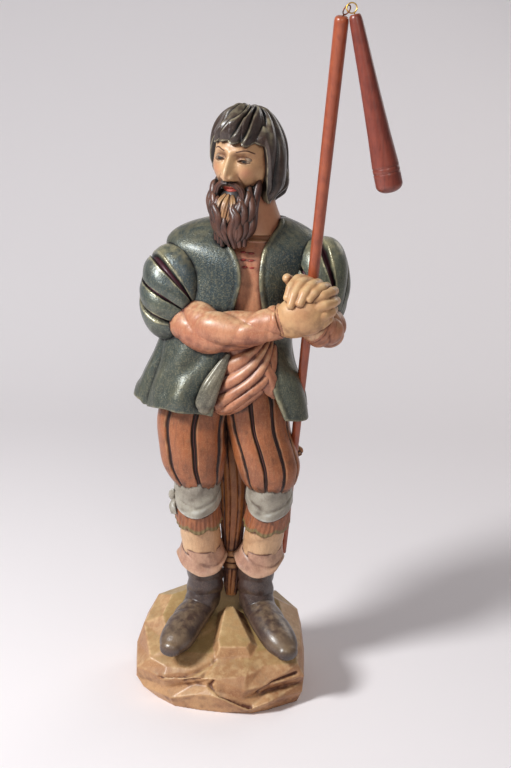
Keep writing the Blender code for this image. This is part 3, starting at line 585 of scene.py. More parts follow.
def aged_paint():
    """Node group for thin paint on carved wood: patches, a dark glaze in hollows together with painted shade
    there, between pieces and on downward faces, wear on ridges with painted light on upward faces, speckle.
    """
    group = bpy.data.node_groups.new("aged_paint", "ShaderNodeTree")
    face = group.interface
    colours = ("Paint", "Second Paint", "Wash", "Worn")
    numbers = {"Patch Scale": 40.0, "Wash Amount": 1.0, "Worn Amount": 0.6, "Speckle": 0.3, "Streak": 0.0}
    for name in colours:
        face.new_socket(name, in_out="INPUT", socket_type="NodeSocketColor")
    for name, value in numbers.items():
        face.new_socket(name, in_out="INPUT", socket_type="NodeSocketFloat").default_value = value
    face.new_socket("Color", in_out="OUTPUT", socket_type="NodeSocketColor")
    face.new_socket("Rub", in_out="OUTPUT", socket_type="NodeSocketFloat")
    face.new_socket("Height", in_out="OUTPUT", socket_type="NodeSocketFloat")
    nodes, links = group.nodes, group.links
    given = nodes.new("NodeGroupInput")
    out = nodes.new("NodeGroupOutput")
    place_at = nodes.new("ShaderNodeTexCoord").outputs["Object"]

    def noise(scale, detail, source=None, stretch=None):
        made = nodes.new("ShaderNodeTexNoise")
        made.inputs["Detail"].default_value = detail
        if source is None:
            made.inputs["Scale"].default_value = scale
        else:
            links.new(source, made.inputs["Scale"])
        if stretch is None:
            links.new(place_at, made.inputs["Vector"])
        else:
            mapping = nodes.new("ShaderNodeMapping")
            mapping.inputs["Scale"].default_value = stretch
            links.new(place_at, mapping.inputs["Vector"])
            links.new(mapping.outputs["Vector"], made.inputs["Vector"])
        return made.outputs["Fac"]

    def ramp(source, low, high):
        made = nodes.new("ShaderNodeMapRange")
        made.interpolation_type = "SMOOTHSTEP"
        made.inputs["From Min"].default_value = low
        made.inputs["From Max"].default_value = high
        links.new(source, made.inputs["Value"])
        return made.outputs["Result"]

    def math_of(kind, a, b):
        made = nodes.new("ShaderNodeMath")
        made.operation = kind
        for socket, value in zip(made.inputs, (a, b)):
            if isinstance(value, float):
                socket.default_value = value
            else:
                links.new(value, socket)
        return made.outputs[0]

    def blend(factor, a, b):
        made = nodes.new("ShaderNodeMix")
        made.data_type = "RGBA"
        made.clamp_factor = True
        links.new(factor, made.inputs["Factor"])
        links.new(a, made.inputs[6])
        links.new(b, made.inputs[7])
        return made.outputs[2]

    def attribute(name):
        made = nodes.new("ShaderNodeAttribute")
        made.attribute_name = name
        return made.outputs["Fac"]

    # Two paints in soft patches
    patches = ramp(noise(0, 5, given.outputs["Patch Scale"]), 0.28, 0.72)
    colour = blend(patches, given.outputs["Paint"], given.outputs["Second Paint"])
    brush = noise(420, 3, stretch=(1.0, 1.0, 0.22))
    grit = noise(760, 2)

    # Wear on ridges and painted light on upward faces, then fine specks and brush streaks
    break_up = ramp(noise(160, 5), 0.30, 0.70)
    ridge = attribute("ridge")
    uneven = math_of("ADD", math_of("MULTIPLY", break_up, 0.9), 0.45)
    upper = attribute("upper")
    ridges_and_top_light = math_of("ADD", ridge, math_of("MULTIPLY", ramp(upper, 0.48, 1.0), 0.55))
    worn_and_lit = ramp(math_of("MULTIPLY", ridges_and_top_light, uneven), 0.10, 1.05)
    rub_and_top_light = math_of("MULTIPLY", worn_and_lit, given.outputs["Worn Amount"])
    pebble = math_of("ADD", math_of("MULTIPLY", grit, 0.7), math_of("MULTIPLY", noise(380, 4), 0.3))
    specks = math_of("MULTIPLY", ramp(pebble, 0.47, 0.63), given.outputs["Speckle"])
    colour = blend(math_of("MAXIMUM", rub_and_top_light, specks), colour, given.outputs["Worn"])
    streaks = math_of("MULTIPLY", ramp(brush, 0.45, 0.75), given.outputs["Streak"])
    colour = blend(streaks, colour, given.outputs["Wash"])

    # Dark glaze in hollows together with painted shade there, painted shade between the pieces and on
    # downward faces, and loose stains
    deep = ramp(attribute("shade"), 0.05, 0.45)
    under = ramp(upper, 0.52, 0.12)
    hollow = math_of("ADD", math_of("MULTIPLY", attribute("hollow"), 0.75), math_of("MULTIPLY", deep, 0.8))
    hollow = math_of("ADD", hollow, math_of("MULTIPLY", under, 0.35))
    grime = math_of("MULTIPLY", math_of("SUBTRACT", ramp(noise(70, 6), 0.35, 0.65), 0.4), 0.42)
    broken = math_of("MULTIPLY", math_of("SUBTRACT", break_up, 0.5), 0.3)
    loose = math_of("ADD", math_of("ADD", hollow, grime), broken)
    wash_and_shade = math_of("MULTIPLY", ramp(loose, 0.0, 1.05), given.outputs["Wash Amount"])
    colour = blend(wash_and_shade, colour, given.outputs["Wash"])
    links.new(colour, out.inputs["Color"])
    links.new(math_of("SUBTRACT", rub_and_top_light, wash_and_shade), out.inputs["Rub"])
    height = math_of("ADD", math_of("MULTIPLY", brush, 0.5), math_of("MULTIPLY", pebble, 0.7))
    links.new(height, out.inputs["Height"])
    return group


AGED_PAINT = aged_paint()
COAT_ROUGHNESS = 0.28
WASH_DULLING = 0.18
WORN_POLISH = 0.14
BRUSH_RELIEF = 0.0009


def zone_mask(tree, name, low, high):
    """A paint mask of the piece, with its edge made crisp."""
    source = tree.nodes.new("ShaderNodeAttribute")
    source.attribute_name = name
    crisp = tree.nodes.new("ShaderNodeMapRange")
    crisp.interpolation_type = "SMOOTHSTEP"
    crisp.inputs["From Min"].default_value = low
    crisp.inputs["From Max"].default_value = high
    tree.links.new(source.outputs["Fac"], crisp.inputs["Value"])
    return crisp.outputs["Result"]


# The third colour is a dark glaze in hollows and also painted shade; the fourth is the wear on ridges and
# also painted light on upward faces.
def paint(name, first, second, wash_and_shade, worn_and_lit, zones=(), patch=40.0, wash_amount=0.85, worn_amount=0.55,
          speckle=0.15, streak=0.15, rough=0.46, gloss=0.25, metal=0.0, bump=0.25):
    """Painted wood. zones are (mask name, colour, low, high) laid over the paint in turn."""
    made = bpy.data.materials.new(name)
    made.use_nodes = True
    tree = made.node_tree
    shader = tree.nodes["Principled BSDF"]
    aged = tree.nodes.new("ShaderNodeGroup")
    aged.node_tree = AGED_PAINT
    for socket, value in (("Paint", first), ("Second Paint", second), ("Wash", wash_and_shade), ("Worn", worn_and_lit),
                          ("Patch Scale", patch), ("Wash Amount", wash_amount), ("Worn Amount", worn_amount),
                          ("Speckle", speckle), ("Streak", streak)):
        aged.inputs[socket].default_value = value
    colour = aged.outputs["Color"]
    for mask, shade, low, high in zones:
        over = tree.nodes.new("ShaderNodeMix")
        over.data_type = "RGBA"
        tree.links.new(zone_mask(tree, mask, low, high), over.inputs["Factor"])
        tree.links.new(colour, over.inputs[6])
        over.inputs[7].default_value = shade
        colour = over.outputs[2]
    tree.links.new(colour, shader.inputs["Base Color"])
    roughness = tree.nodes.new("ShaderNodeMapRange")
    roughness.inputs["From Min"].default_value = -1.0
    roughness.inputs["From Max"].default_value = 1.0
    roughness.inputs["To Min"].default_value = rough + WASH_DULLING
    roughness.inputs["To Max"].default_value = rough - WORN_POLISH
    tree.links.new(aged.outputs["Rub"], roughness.inputs["Value"])
    tree.links.new(roughness.outputs["Result"], shader.inputs["Roughness"])
    raised = tree.nodes.new("ShaderNodeBump")
    raised.inputs["Strength"].default_value = bump
    raised.inputs["Distance"].default_value = BRUSH_RELIEF
    tree.links.new(aged.outputs["Height"], raised.inputs["Height"])
    tree.links.new(raised.outputs["Normal"], shader.inputs["Normal"])
    shader.inputs["Metallic"].default_value = metal
    shader.inputs["Coat Weight"].default_value = gloss
    shader.inputs["Coat Roughness"].default_value = COAT_ROUGHNESS
    return made


def metal_of(name, first, second, rough):
    """Bare metal with darker, duller patches."""
    made = bpy.data.materials.new(name)
    made.use_nodes = True
    tree = made.node_tree
    shader = tree.nodes["Principled BSDF"]
    shader.inputs["Metallic"].default_value = 1.0
    noise = tree.nodes.new("ShaderNodeTexNoise")
    noise.inputs["Scale"].default_value = 700.0
    noise.inputs["Detail"].default_value = 4.0
    where = tree.nodes.new("ShaderNodeTexCoord")
    tree.links.new(where.outputs["Object"], noise.inputs["Vector"])
    over = tree.nodes.new("ShaderNodeMix")
    over.data_type = "RGBA"
    over.inputs[6].default_value = first
    over.inputs[7].default_value = second
    tree.links.new(noise.outputs["Fac"], over.inputs["Factor"])
    tree.links.new(over.outputs[2], shader.inputs["Base Color"])
    dull = tree.nodes.new("ShaderNodeMapRange")
    dull.inputs["To Min"].default_value = rough
    dull.inputs["To Max"].default_value = rough + 0.25
    tree.links.new(noise.outputs["Fac"], dull.inputs["Value"])
    tree.links.new(dull.outputs["Result"], shader.inputs["Roughness"])
    return made


SKIN = paint(
    "skin_paint", tone(205, 164, 120), tone(190, 142, 102), tone(104, 62, 38), tone(232, 200, 158),
    (
        # The rosy colour marks cheeks and nose on the face, and lies over the whole neck as painted shade
        ("blush_and_neck_shade", tone(184, 112, 84), 0.0, 1.9),
        ("zone", tone(166, 66, 52), 0.25, 0.75),
        ("brow", tone(78, 44, 30), 0.25, 0.75),
    ),
    patch=55, wash_amount=0.85, worn_amount=0.6, speckle=0.05, streak=0.08, rough=0.44, gloss=0.2,
)
HANDS = paint(
    "hand_paint", tone(205, 160, 112), tone(190, 138, 96), tone(104, 60, 34), tone(234, 202, 154),
    patch=60, wash_amount=0.95, worn_amount=0.65, speckle=0.05, streak=0.06, rough=0.44, gloss=0.2,
)
EYES = paint(
    "eye_paint", tone(158, 138, 116), tone(146, 124, 102), tone(90, 60, 44), tone(180, 164, 144),
    (("zone", tone(64, 50, 40), 0.3, 0.7), ("brow", tone(18, 14, 12), 0.3, 0.7)),
    wash_amount=0.8, worn_amount=0.0, speckle=0.0, streak=0.0, rough=0.3, gloss=0.2,
)
# Its light colour, with the upward-face mask, also lays painted highlights on the crown
HAIR = paint(
    "hair_paint", tone(66, 48, 40), tone(46, 32, 28), tone(14, 9, 8), tone(176, 164, 134),
    patch=45, wash_amount=1.0, worn_amount=0.8, speckle=0.06, streak=0.3, rough=0.34, gloss=0.45,
)
BEARD = paint(
    "beard_paint", tone(92, 54, 40), tone(66, 37, 29), tone(20, 11, 9), tone(160, 112, 84),
    patch=70, wash_amount=1.0, worn_amount=0.42, speckle=0.0, streak=0.3, rough=0.42, gloss=0.25,
)
TUFT_PAINT = paint(
    "tuft_paint", tone(168, 122, 80), tone(136, 92, 60), tone(52, 28, 20), tone(216, 178, 128),
    patch=90, wash_amount=0.9, worn_amount=0.6, streak=0.2, rough=0.42,
)
JACKET_PAINT = paint(
    "jacket_paint", tone(90, 92, 76), tone(46, 60, 64), tone(8, 11, 12), tone(166, 156, 122),
    patch=12, wash_amount=1.0, worn_amount=0.66, speckle=0.27, streak=0.3, rough=0.36, gloss=0.3,
    metal=0.3, bump=0.7,
)
SLEEVE_PAINT = paint(
    "sleeve_paint", tone(94, 98, 82), tone(54, 70, 78), tone(12, 11, 14), tone(184, 174, 136),
    (("zone", tone(78, 38, 48), 0.35, 0.75),),
    patch=18, wash_amount=1.0, worn_amount=0.74, speckle=0.2, streak=0.25, rough=0.34, gloss=0.35,
    metal=0.3, bump=0.6,
)
LINING_PAINT = paint(
    "lining_paint", tone(118, 110, 92), tone(92, 88, 76), tone(32, 30, 26), tone(172, 164, 138),
    patch=40, wash_amount=0.95, worn_amount=0.6, speckle=0.3, rough=0.38, gloss=0.35, metal=0.2,
)
SHIRT_PAINT = paint(
    "shirt_paint", tone(196, 134, 98), tone(168, 100, 72), tone(92, 44, 30), tone(230, 190, 146),
    # Above the neckline the shirt shows the bare neck, in a dark skin colour that is painted shade under the
    # beard
    (("zone", tone(140, 96, 66), 0.4, 0.6),),
    patch=26, wash_amount=1.0, worn_amount=0.85, speckle=0.12, streak=0.25, rough=0.44,
)
STITCH_PAINT = paint(
    "stitch_paint", tone(150, 44, 36), tone(132, 36, 30), tone(70, 20, 18), tone(180, 70, 56),
    wash_amount=0.2, worn_amount=0.2,
)
BREECHES_PAINT = paint(
    "breeches_paint", tone(164, 94, 54), tone(138, 80, 50), tone(48, 24, 16), tone(212, 168, 120),
    (("zone", tone(44, 26, 20), 0.16, 0.34), ("zone", tone(90, 44, 38), 0.70, 0.92)),
    patch=30, wash_amount=1.0, worn_amount=0.6, speckle=0.14, streak=0.3, rough=0.42,
)
KNEE_PAINT = paint(
    "knee_band_paint", tone(164, 156, 140), tone(134, 124, 110), tone(74, 58, 42), tone(206, 204, 196),
    patch=40, wash_amount=1.0, worn_amount=0.8, speckle=0.1, rough=0.46,
)
GARTER_PAINT = paint(
    "garter_paint", tone(156, 92, 54), tone(136, 74, 44), tone(62, 30, 18), tone(196, 140, 92),
    (("zone", tone(120, 100, 60), 0.45, 0.9),),
    patch=60, wash_amount=0.95, worn_amount=0.5, streak=0.5, rough=0.48,
)
STOCKING_PAINT = paint(
    "stocking_paint", tone(206, 166, 126), tone(192, 146, 108), tone(116, 72, 46), tone(230, 200, 162),
    patch=30, wash_amount=0.9, worn_amount=0.5, streak=0.25, rough=0.46,
)
CUFF_PAINT = paint(
    "boot_cuff_paint", tone(192, 150, 122), tone(172, 126, 104), tone(86, 52, 40), tone(224, 190, 156),
    patch=40, wash_amount=1.0, worn_amount=0.6, streak=0.2, rough=0.46,
)
BOOT_PAINT = paint(
    "boot_paint", tone(72, 52, 46), tone(56, 40, 37), tone(20, 13, 12), tone(158, 134, 106),
    (("zone", tone(148, 122, 92), 0.2, 1.9),),
    patch=34, wash_amount=1.0, worn_amount=0.62, speckle=0.12, streak=0.3, rough=0.36, gloss=0.4, bump=0.4,
)
SHEAF_PAINT = paint(
    "straw_paint", tone(176, 112, 60), tone(156, 92, 48), tone(70, 32, 18), tone(214, 158, 96),
    patch=50, wash_amount=1.0, worn_amount=0.6, streak=0.2, rough=0.46,
)
TIE_PAINT = paint(
    "tie_paint", tone(186, 130, 76), tone(166, 108, 60), tone(84, 44, 26), tone(222, 172, 112),
    patch=50, wash_amount=0.95, worn_amount=0.6, rough=0.46,
)
ROCK_PAINT = paint(
    "rock_paint", tone(194, 148, 102), tone(158, 106, 68), tone(92, 48, 28), tone(234, 198, 150),
    (("zone", tone(158, 136, 80), 0.1, 1.7),),
    patch=20, wash_amount=1.0, worn_amount=0.7, speckle=0.14, streak=0.15, rough=0.46, gloss=0.2, bump=0.4,
)
ROD_STAIN = paint(
    "rod_stain", tone(164, 80, 46), tone(148, 68, 40), tone(100, 40, 24), tone(190, 108, 70),
    patch=90, wash_amount=0.5, worn_amount=0.3, speckle=0.03, streak=0.4, rough=0.34, gloss=0.3, bump=0.12,
)
SWIPPLE_STAIN = paint(
    "swipple_stain", tone(130, 58, 42), tone(114, 48, 36), tone(66, 22, 16), tone(168, 92, 66),
    patch=90, wash_amount=0.5, worn_amount=0.3, speckle=0.03, streak=0.4, rough=0.36, gloss=0.3, bump=0.12,
)
COPPER = metal_of("dark_copper", tone(150, 84, 48), tone(80, 44, 28), 0.3)
BRASS = metal_of("bright_brass", tone(232, 190, 92), tone(196, 150, 66), 0.18)


# Legs, from the hips to the boots; the first of each pair stands at -X
BREECHES = (
    ((356, -22, 0, 34, 33), (322, -28, 0, 36, 34), (291, -34, -2, 36, 35), (264, -33, -6, 34, 34),
     (247, -32.5, -9, 31, 31), (233, -29.5, -10, 26.5, 27), (225, -28, -10, 21, 22)),
    ((356, 17, 0, 34, 33), (322, 26, 0, 34, 34), (289, 30, -4, 32, 34), (266, 37, -9, 32, 33),
     (249, 42, -13, 31.5, 31), (233, 44, -14, 27.5, 28), (225, 45, -13, 22, 23)),
)
LEGS = (
    ((230, -28.5, -10, 20, 21), (196, -27.5, -8, 20.5, 21), (176, -25, -4, 20.5, 22),
     (156, -23, -1, 20.5, 22), (136, -21, 0, 19.5, 21), (112, -18, 2, 18.5, 20), (84, -22, 2, 18, 21)),
    ((230, 45, -13, 20, 21), (196, 44.5, -10, 20.5, 21), (176, 42, -5, 20.5, 22),
     (156, 39.5, -1, 20.5, 22), (136, 36, 1, 19.5, 21), (112, 34, 4, 18.5, 20), (84, 37, 4, 18, 21)),
)
FEET = (
    ((-20, 14, 84, 14), (-25, -6, 84, 17), (-35, -29, 78, 18), (-42.5, -46, 71.5, 17.8),
     (-46.5, -55, 68.5, 15.5), (-49, -62, 66, 11.5)),
    ((34, 18, 86, 14), (39, -4, 85, 17), (50, -29, 79, 18), (59.5, -46, 72.5, 17.8),
     (64.5, -55, 69, 15.5), (68, -62, 66, 11.5)),
)
# Upper and lower heights, each at the sides and in front, then thickness, flare and scallops
KNEE_BAND = ((232, 232), (208, 194), 3.2, 0.8)
GARTER = ((210, 208), (187, 180), 1.0, 2.6, 7, 5.0)
BOOT_CUFF = ((160, 156), (143, 128), -0.6, 6.0)
# How far a band's edges reach in under the leg's surface, and how much they are rounded
BAND_SINK = 4.0
BAND_ROUND = 0.8
LEG_SQUARE = 2.1
# Heights down to which the stocking goes and up to which the boot goes
STOCKING_LOWEST = 130
BOOT_HIGHEST = 160
# Panes round each leg of the breeches, and the direction of the first slash
PANES = (8, 10)
FIRST_SLASH = (math.radians(-83), math.radians(-97))


def pane_wave(k, angle, share):
    """0 in the middle of a slash, 1 in the middle of a pane."""
    sway = 0.05 * np.sin(5.0 * share + 2.0 * k)
    return np.abs(np.sin((angle - FIRST_SLASH[k] + sway) * PANES[k] / 2))


def breeches(k):
    """One leg of the breeches: flat panes with rounded edges, and slashes with a thin lining fold inside."""

    def relief(angle, z, share):
        wave = pane_wave(k, angle, share)
        opened = smooth(0.0, 0.06, share) * (1 - 0.45 * smooth(0.8, 1.0, share))
        groove = 1 - smooth(0.18, 0.36, wave)
        lining = bell(wave, 0.0, 0.08)
        gather = 0.014 * np.sin(23 * angle) * smooth(0.82, 1.0, share)
        dents = 0.008 * np.sin(0.11 * z + 5 * angle) * wave
        return 1 + opened * (-0.105 * groove + 0.045 * lining + 0.02 * wave) + gather + dents

    def slash(angle, z, share):
        """Half for the slash, whole for the strip of lining in its middle."""
        wave = pane_wave(k, angle, share)
        return 0.5 * (1 - smooth(0.20, 0.34, wave)) + 0.5 * bell(wave, 0.0, 0.09)

    return stack(BREECHES[k], rows=120, around=320, relief=relief, square=2.2, mark=slash)


def leg_at(leg, z):
    levels = np.array(leg, float)[::-1]
    return [np.interp(z, levels[:, 0], levels[:, k]) for k in (1, 2, 3, 4)]


def band(leg, top_heights, low_heights, grow, flare, scallops=0, scallop=0.0, rows=26, around=220,
         fold=None, mark=None):
    """Cloth or leather turned round a leg; the heights are at the sides and in front."""
    angle = np.linspace(0, 2 * math.pi, around, endpoint=False)
    front = np.clip(-np.sin(angle), 0, 1) ** 1.4
    top = top_heights[0] + (top_heights[1] - top_heights[0]) * front
    low = low_heights[0] + (low_heights[1] - low_heights[0]) * front
    if scallops:
        low = low - scallop * np.abs(np.sin((angle + 0.25) * scallops / 2)) ** 0.8
    steps = [(0.0, -BAND_SINK), (0.0, grow - BAND_ROUND)]
    steps += [(t, grow + flare * t) for t in np.linspace(0.01, 0.99, rows)]
    steps += [(1.0, grow + flare - BAND_ROUND), (1.0, -BAND_SINK)]
    out, marks = [], []
    for t, thick in steps:
        z = top + (low - top) * t
        cx, cy, hw, hd = leg_at(leg, z)
        if fold is not None and thick > 0:
            thick = thick + fold(angle, t)
        out.append(np.stack([cx + (hw + thick) * np.cos(angle), cy + (hd + thick) * np.sin(angle), z], 1))
        marks.append(np.zeros(around) if mark is None else mark(angle, t) + np.zeros(around))
    return skin(out, marks)


def knee_fold(angle, t):
    front = np.clip(-np.sin(angle), 0, 1)
    drape = np.sin(9.0 * t + 3.2 * np.cos(angle)) * front
    crease = -bell(t - 0.42 - 0.3 * front, 0.0, 0.05) - 0.7 * bell(t - 0.75 + 0.25 * np.cos(angle), 0.0, 0.05)
    return drape + 1.3 * crease + 0.35 * np.sin(7 * angle)


def garter_fold(angle, t):
    return 0.45 * np.sin(14 * angle) * (1 - t) + 0.4 * np.sin(31 * angle + 5 * t) * t


def garter_edge(angle, t):
    return smooth(0.72, 0.95, t) + np.zeros_like(angle)


def cuff_fold(angle, t):
    """Rolled rims, and a crease that runs down across the front."""
    crease = -1.3 * bell(t - 0.45 - 0.35 * np.cos(angle + 0.4), 0.0, 0.07) * (np.sin(angle) < 0.3)
    rims = 1.3 * bell(t, 0.94, 0.10) + 0.8 * bell(t, 0.06, 0.1)
    return rims + crease + 0.7 * np.sin(3 * angle + 5 * t) * t + 0.4 * np.sin(8 * angle - 4 * t)


def stocking_relief(angle, z, share):
    """Slight slanting wrinkles above the boot's cuff."""
    return 1 + 0.012 * np.sin(z * 0.35 + 2.5 * np.sin(angle)) + 0.01 * np.cos(6 * angle + 0.1 * z)


def boot_carve(leg, points):
    """Creases round the ankle, deeper at the back of the instep."""
    x, y, z = points.T
    turn = np.arctan2(y, x - leg)
    crease = np.abs(np.sin(z / 5.2 + 1.3 * np.sin(turn) + 0.4 * np.sin(3 * turn))) - 0.5
    instep = np.abs(np.sin((y + 0.6 * z) / 7.0 + np.sin(turn))) - 0.5
    seam = -0.9 * bell(z, 59.5 + 0.06 * (y + 50), 1.2) * smooth(-5, -20, y)
    return 1.9 * crease * bell(z, 108, 14) + 1.0 * instep * bell(z, 88, 10) * smooth(-44, -26, y) + seam


def bow():
    """Tied ribbon ends at the outer side of the left garter."""
    knot = (-49.5, -12, 206)
    loops = (
        ((0, 0, 0, 3.0), (-3.5, -3, 6, 3.6), (-3, -4, 12, 2.4)),
        ((0, 0, 0, 3.0), (-4.5, 2, 3, 3.4), (-5.5, 3, 8, 2.2)),
        ((0, 0, 0, 2.8), (-2, -5, -6, 3.4), (0, -8, -12, 2.0)),
        ((0, 0, 0, 2.8), (-4, 0, -6, 3.2), (-3.5, -1, -14, 2.0)),
    )
    parts = [ball(knot, (3.6, 4.2, 4.2), rows=12, around=20)]
    for keys in loops:
        moved = [(knot[0] + x, knot[1] + y, knot[2] + z, r) for x, y, z, r in keys]
        parts.append(sweep(moved, rows=12, around=16, up=(0.2, 1, 0.1), dome=0.6, flat=0.55))
    return parts


def legs():
    """Breeches, bands, stockings and boots, whose toes are paler from wear."""
    piece("breeches_left", [breeches(0)], BREECHES_PAINT)
    piece("breeches_right", [breeches(1)], BREECHES_PAINT)
    for name, k in (("left", 0), ("right", 1)):
        side = LEGS[k]
        calf = [row for row in side if row[0] > STOCKING_LOWEST]
        stocking = stack(calf, rows=60, around=120, relief=stocking_relief, square=LEG_SQUARE)
        piece(f"stocking_{name}", [stocking], STOCKING_PAINT)
        piece(f"knee_band_{name}", [band(side, *KNEE_BAND, fold=knee_fold)], KNEE_PAINT)
        piece(f"garter_{name}", [band(side, *GARTER, fold=garter_fold, mark=garter_edge)], GARTER_PAINT)
        piece(f"boot_cuff_{name}", [band(side, *BOOT_CUFF, fold=cuff_fold)], CUFF_PAINT)
        low_leg = [row for row in side if row[0] < BOOT_HIGHEST]
        shaft = stack(low_leg, rows=30, around=60, square=LEG_SQUARE)
        foot = sweep(FEET[k], rows=40, around=60, up=(0, 0, 1), dome=0.75, flat=0.82)
        boot = piece(f"boot_{name}", [shaft, foot], BOOT_PAINT, voxel=0.9, relax=4,
                     carve=lambda points, x=side[-1][1]: boot_carve(x, points))
        points, _, _ = mesh_arrays(boot.data)
        toe = smooth(-0.042, -0.068, points[:, 1]) * smooth(0.060, 0.075, points[:, 2])
        set_mark(boot.data, "zone", toe)
    piece("bow", bow(), KNEE_PAINT, voxel=0.6)


# Shirt, jacket and sleeves
SHIRT = (
    (326, 2, 2, 44, 26), (340, 2, 0, 54, 35), (380, 8, -2, 54, 38), (420, 14, -1, 55, 38),
    (450, 14, 1, 58, 36), (464, 12.5, 2, 62, 32), (476, 13, 4, 58, 26), (485, 15, 5, 45, 21),
    (491, 19, 5, 30, 18), (496, 21, 3, 21, 18),
)
BLOUSE = (
    (396, 18, -24, 22, 22), (372, 19, -28, 27, 25), (350, 19, -30, 30, 27), (336, 14, -31, 27, 27),
    (324, 7, -31, 22, 25), (313, 1, -31, 16, 20), (306, -2, -30, 8, 11),
)
# Jacket sections: z, centre x, centre y, half width, half depth, left front edge x, right front edge x
JACKET = (
    (301, -4.5, -1, 84, 52, -14, 49), (318, -4.5, -1, 81, 52, -11, 44), (336, -4.5, -2, 76, 50, -7, 39),
    (356, -4, -3, 69, 46, -3, 37), (376, -3, -3, 64, 44, 0, 36), (396, 3, -3, 61, 43, 3, 33),
    (416, 9, -3, 60, 43, 6, 30), (436, 13, -2, 63, 43, 10, 27), (452, 12, 0, 69, 42, 8.5, 27.5),
    (466, 11, 2, 74, 38, 2, 30), (477, 12, 4, 69, 31, -6, 36), (486, 14, 5, 54, 25, -10, 42),
    (493, 18, 5, 33, 22, -8, 45),
)
# Directions of the flap on the jacket's right front and of the pipe fold on its left side
FLAP_ANGLE = math.radians(-34)
PIPE_ANGLE = math.radians(-158)
# Height of the shirt's neckline, x and z of the place where the blouse gathers, and its hanging end
NECKLINE = 473.0
BLOUSE_GATHER = (44, 398)
BLOUSE_TAIL = ((28, -47, 366, 7), (36, -48, 350, 8.5), (42, -45, 336, 8), (46, -42, 328, 4.5))
# Corner of the jacket's left front edge, turned back over the skirt
TURNED_CORNER = (
    (0, -50, 368, 2.5), (-7, -53, 354, 5.5), (-15, -57, 338, 8.5), (-20, -57, 323, 8.5), (-21, -55, 315, 5.5),
)


def shirt_relief(angle, z, share):
    turn = np.angle(np.exp(1j * (angle + math.pi / 2)))
    pleats = 0.012 * np.cos(17 * turn + z * 0.05) * bell(turn, 0, 0.9) * smooth(486, 440, z)
    collar = 0.03 * bell(z, NECKLINE, 1.0)
    return 1 + pleats + collar - 0.05 * smooth(NECKLINE - 0.5, NECKLINE + 1.0, z)


# Mask of the neck above the shirt's neckline, which is coloured as painted shade
def shaded_bare_neck(angle, z, share):
    return smooth(NECKLINE + 0.2, NECKLINE + 1.2, z) + np.zeros_like(angle)


def blouse_relief(angle, z, share):
    """Folds that fan out from under the right wrist and sweep down to the left."""
    across = BLOUSE_GATHER[0] - 12 - 30 * np.cos(angle)
    down = BLOUSE_GATHER[1] - z
    turn = np.arctan2(down, across) + 0.0035 * np.hypot(across, down)
    fold = np.abs(np.sin(13.0 * turn + 0.6 * np.sin(5 * turn))) ** 0.75
    return 1 + 0.13 * fold - 0.085


def jacket_fold(angle, z):
    """Depth of the hanging folds, in drawing units."""
    drop = smooth(392, 310, z)
    flutes = 0.7 * (2 * np.abs(np.sin(3 * angle + 1.82)) - 1) + 0.34 * np.cos(9 * angle - 0.6)
    flutes = flutes + 0.15 * np.cos(17 * angle + 0.03 * z)
    chest = bell(z, 440, 26) * 1.2 * np.cos(5 * angle + z * 0.06)
    turn = np.angle(np.exp(1j * (angle - FLAP_ANGLE)))
    flap = smooth(378, 340, z) * (12 * bell(turn, -0.08, 0.32) - 7 * bell(turn, 0.55, 0.22))
    calm = 1 - bell(turn, 0.1, 0.5)
    pipe = np.angle(np.exp(1j * (angle - PIPE_ANGLE)))
    flare = smooth(385, 325, z) * (4.5 * bell(pipe, -0.22, 0.14) - 4.0 * bell(pipe, 0.03, 0.07))
    sweeping = np.angle(np.exp(1j * (angle + 2.05 - 0.008 * (z - 350))))
    valley = 2.4 * bell(sweeping, -0.3, 0.16) * bell(z, 345, 30)
    valley = valley - 3.4 * bell(sweeping, 0, 0.13) * bell(z, 358, 30)
    return 7.6 * drop * flutes * calm + chest + flap + flare + valley


def jacket(rows=170, around=260, thick=4.6):
    """Open jacket as a thick shell that runs round the back from one front edge to the other."""
    share = np.linspace(0, 1, around)
    out = []
    for z, cx, cy, hw, hd, left, right in spline(JACKET, rows):
        start = -math.pi / 2 + math.asin(min(0.98, (right - cx) / hw))
        stop = 1.5 * math.pi - math.asin(max(-0.98, min(0.98, (cx - left) / hw)))
        angle = start + (stop - start) * share
        c, s = np.cos(angle), np.sin(angle)
        r = (np.abs(c) ** JACKET_SQUARE + np.abs(s) ** JACKET_SQUARE) ** (-1 / JACKET_SQUARE)
        edge = np.minimum(share, 1 - share) * (stop - start) * hw
        roll = 0.6 * bell(edge, 2.4, 1.8) - 0.5 * bell(edge, 5.6, 0.9)
        rise = 9 * smooth(0.3, -0.3, c) + 2.0 * np.cos(6 * angle + 0.5)
        rise = rise + 4.0 * smooth(PIPE_ANGLE + 2 * math.pi, PIPE_ANGLE + 2 * math.pi - 0.06, angle)
        level = z + smooth(335, 301, z) * rise
        radius = jacket_fold(angle, z) + roll
        wall = thick * (1 - 0.45 * smooth(3.0, 0.0, edge)) * (1 - 0.35 * smooth(305, 301, z))
        outer = np.stack([cx + (hw * r + radius) * c, cy + (hd * r + radius) * s, level], 1)
        inner = np.stack([cx + (hw * r + radius - wall) * c, cy + (hd * r + radius - wall) * s, level], 1)
        out.append(np.vstack([outer, inner[::-1]]))
    return skin_sheet(out)


def skin_sheet(rows):
    """Closed surface over rows that run out along a sheet and back along its other face."""
    rows = np.array(rows, float)
    count, around = rows.shape[:2]
    half = around // 2
    faces = grid_faces(count, around)
    top = (count - 1) * around
    for j in range(half - 1):
        other = around - 1 - j
        faces.append((j + 1, j, other, other - 1))
        faces.append((top + j, top + j + 1, top + other - 1, top + other))
    return rows.reshape(-1, 3), faces, np.zeros(count * around)


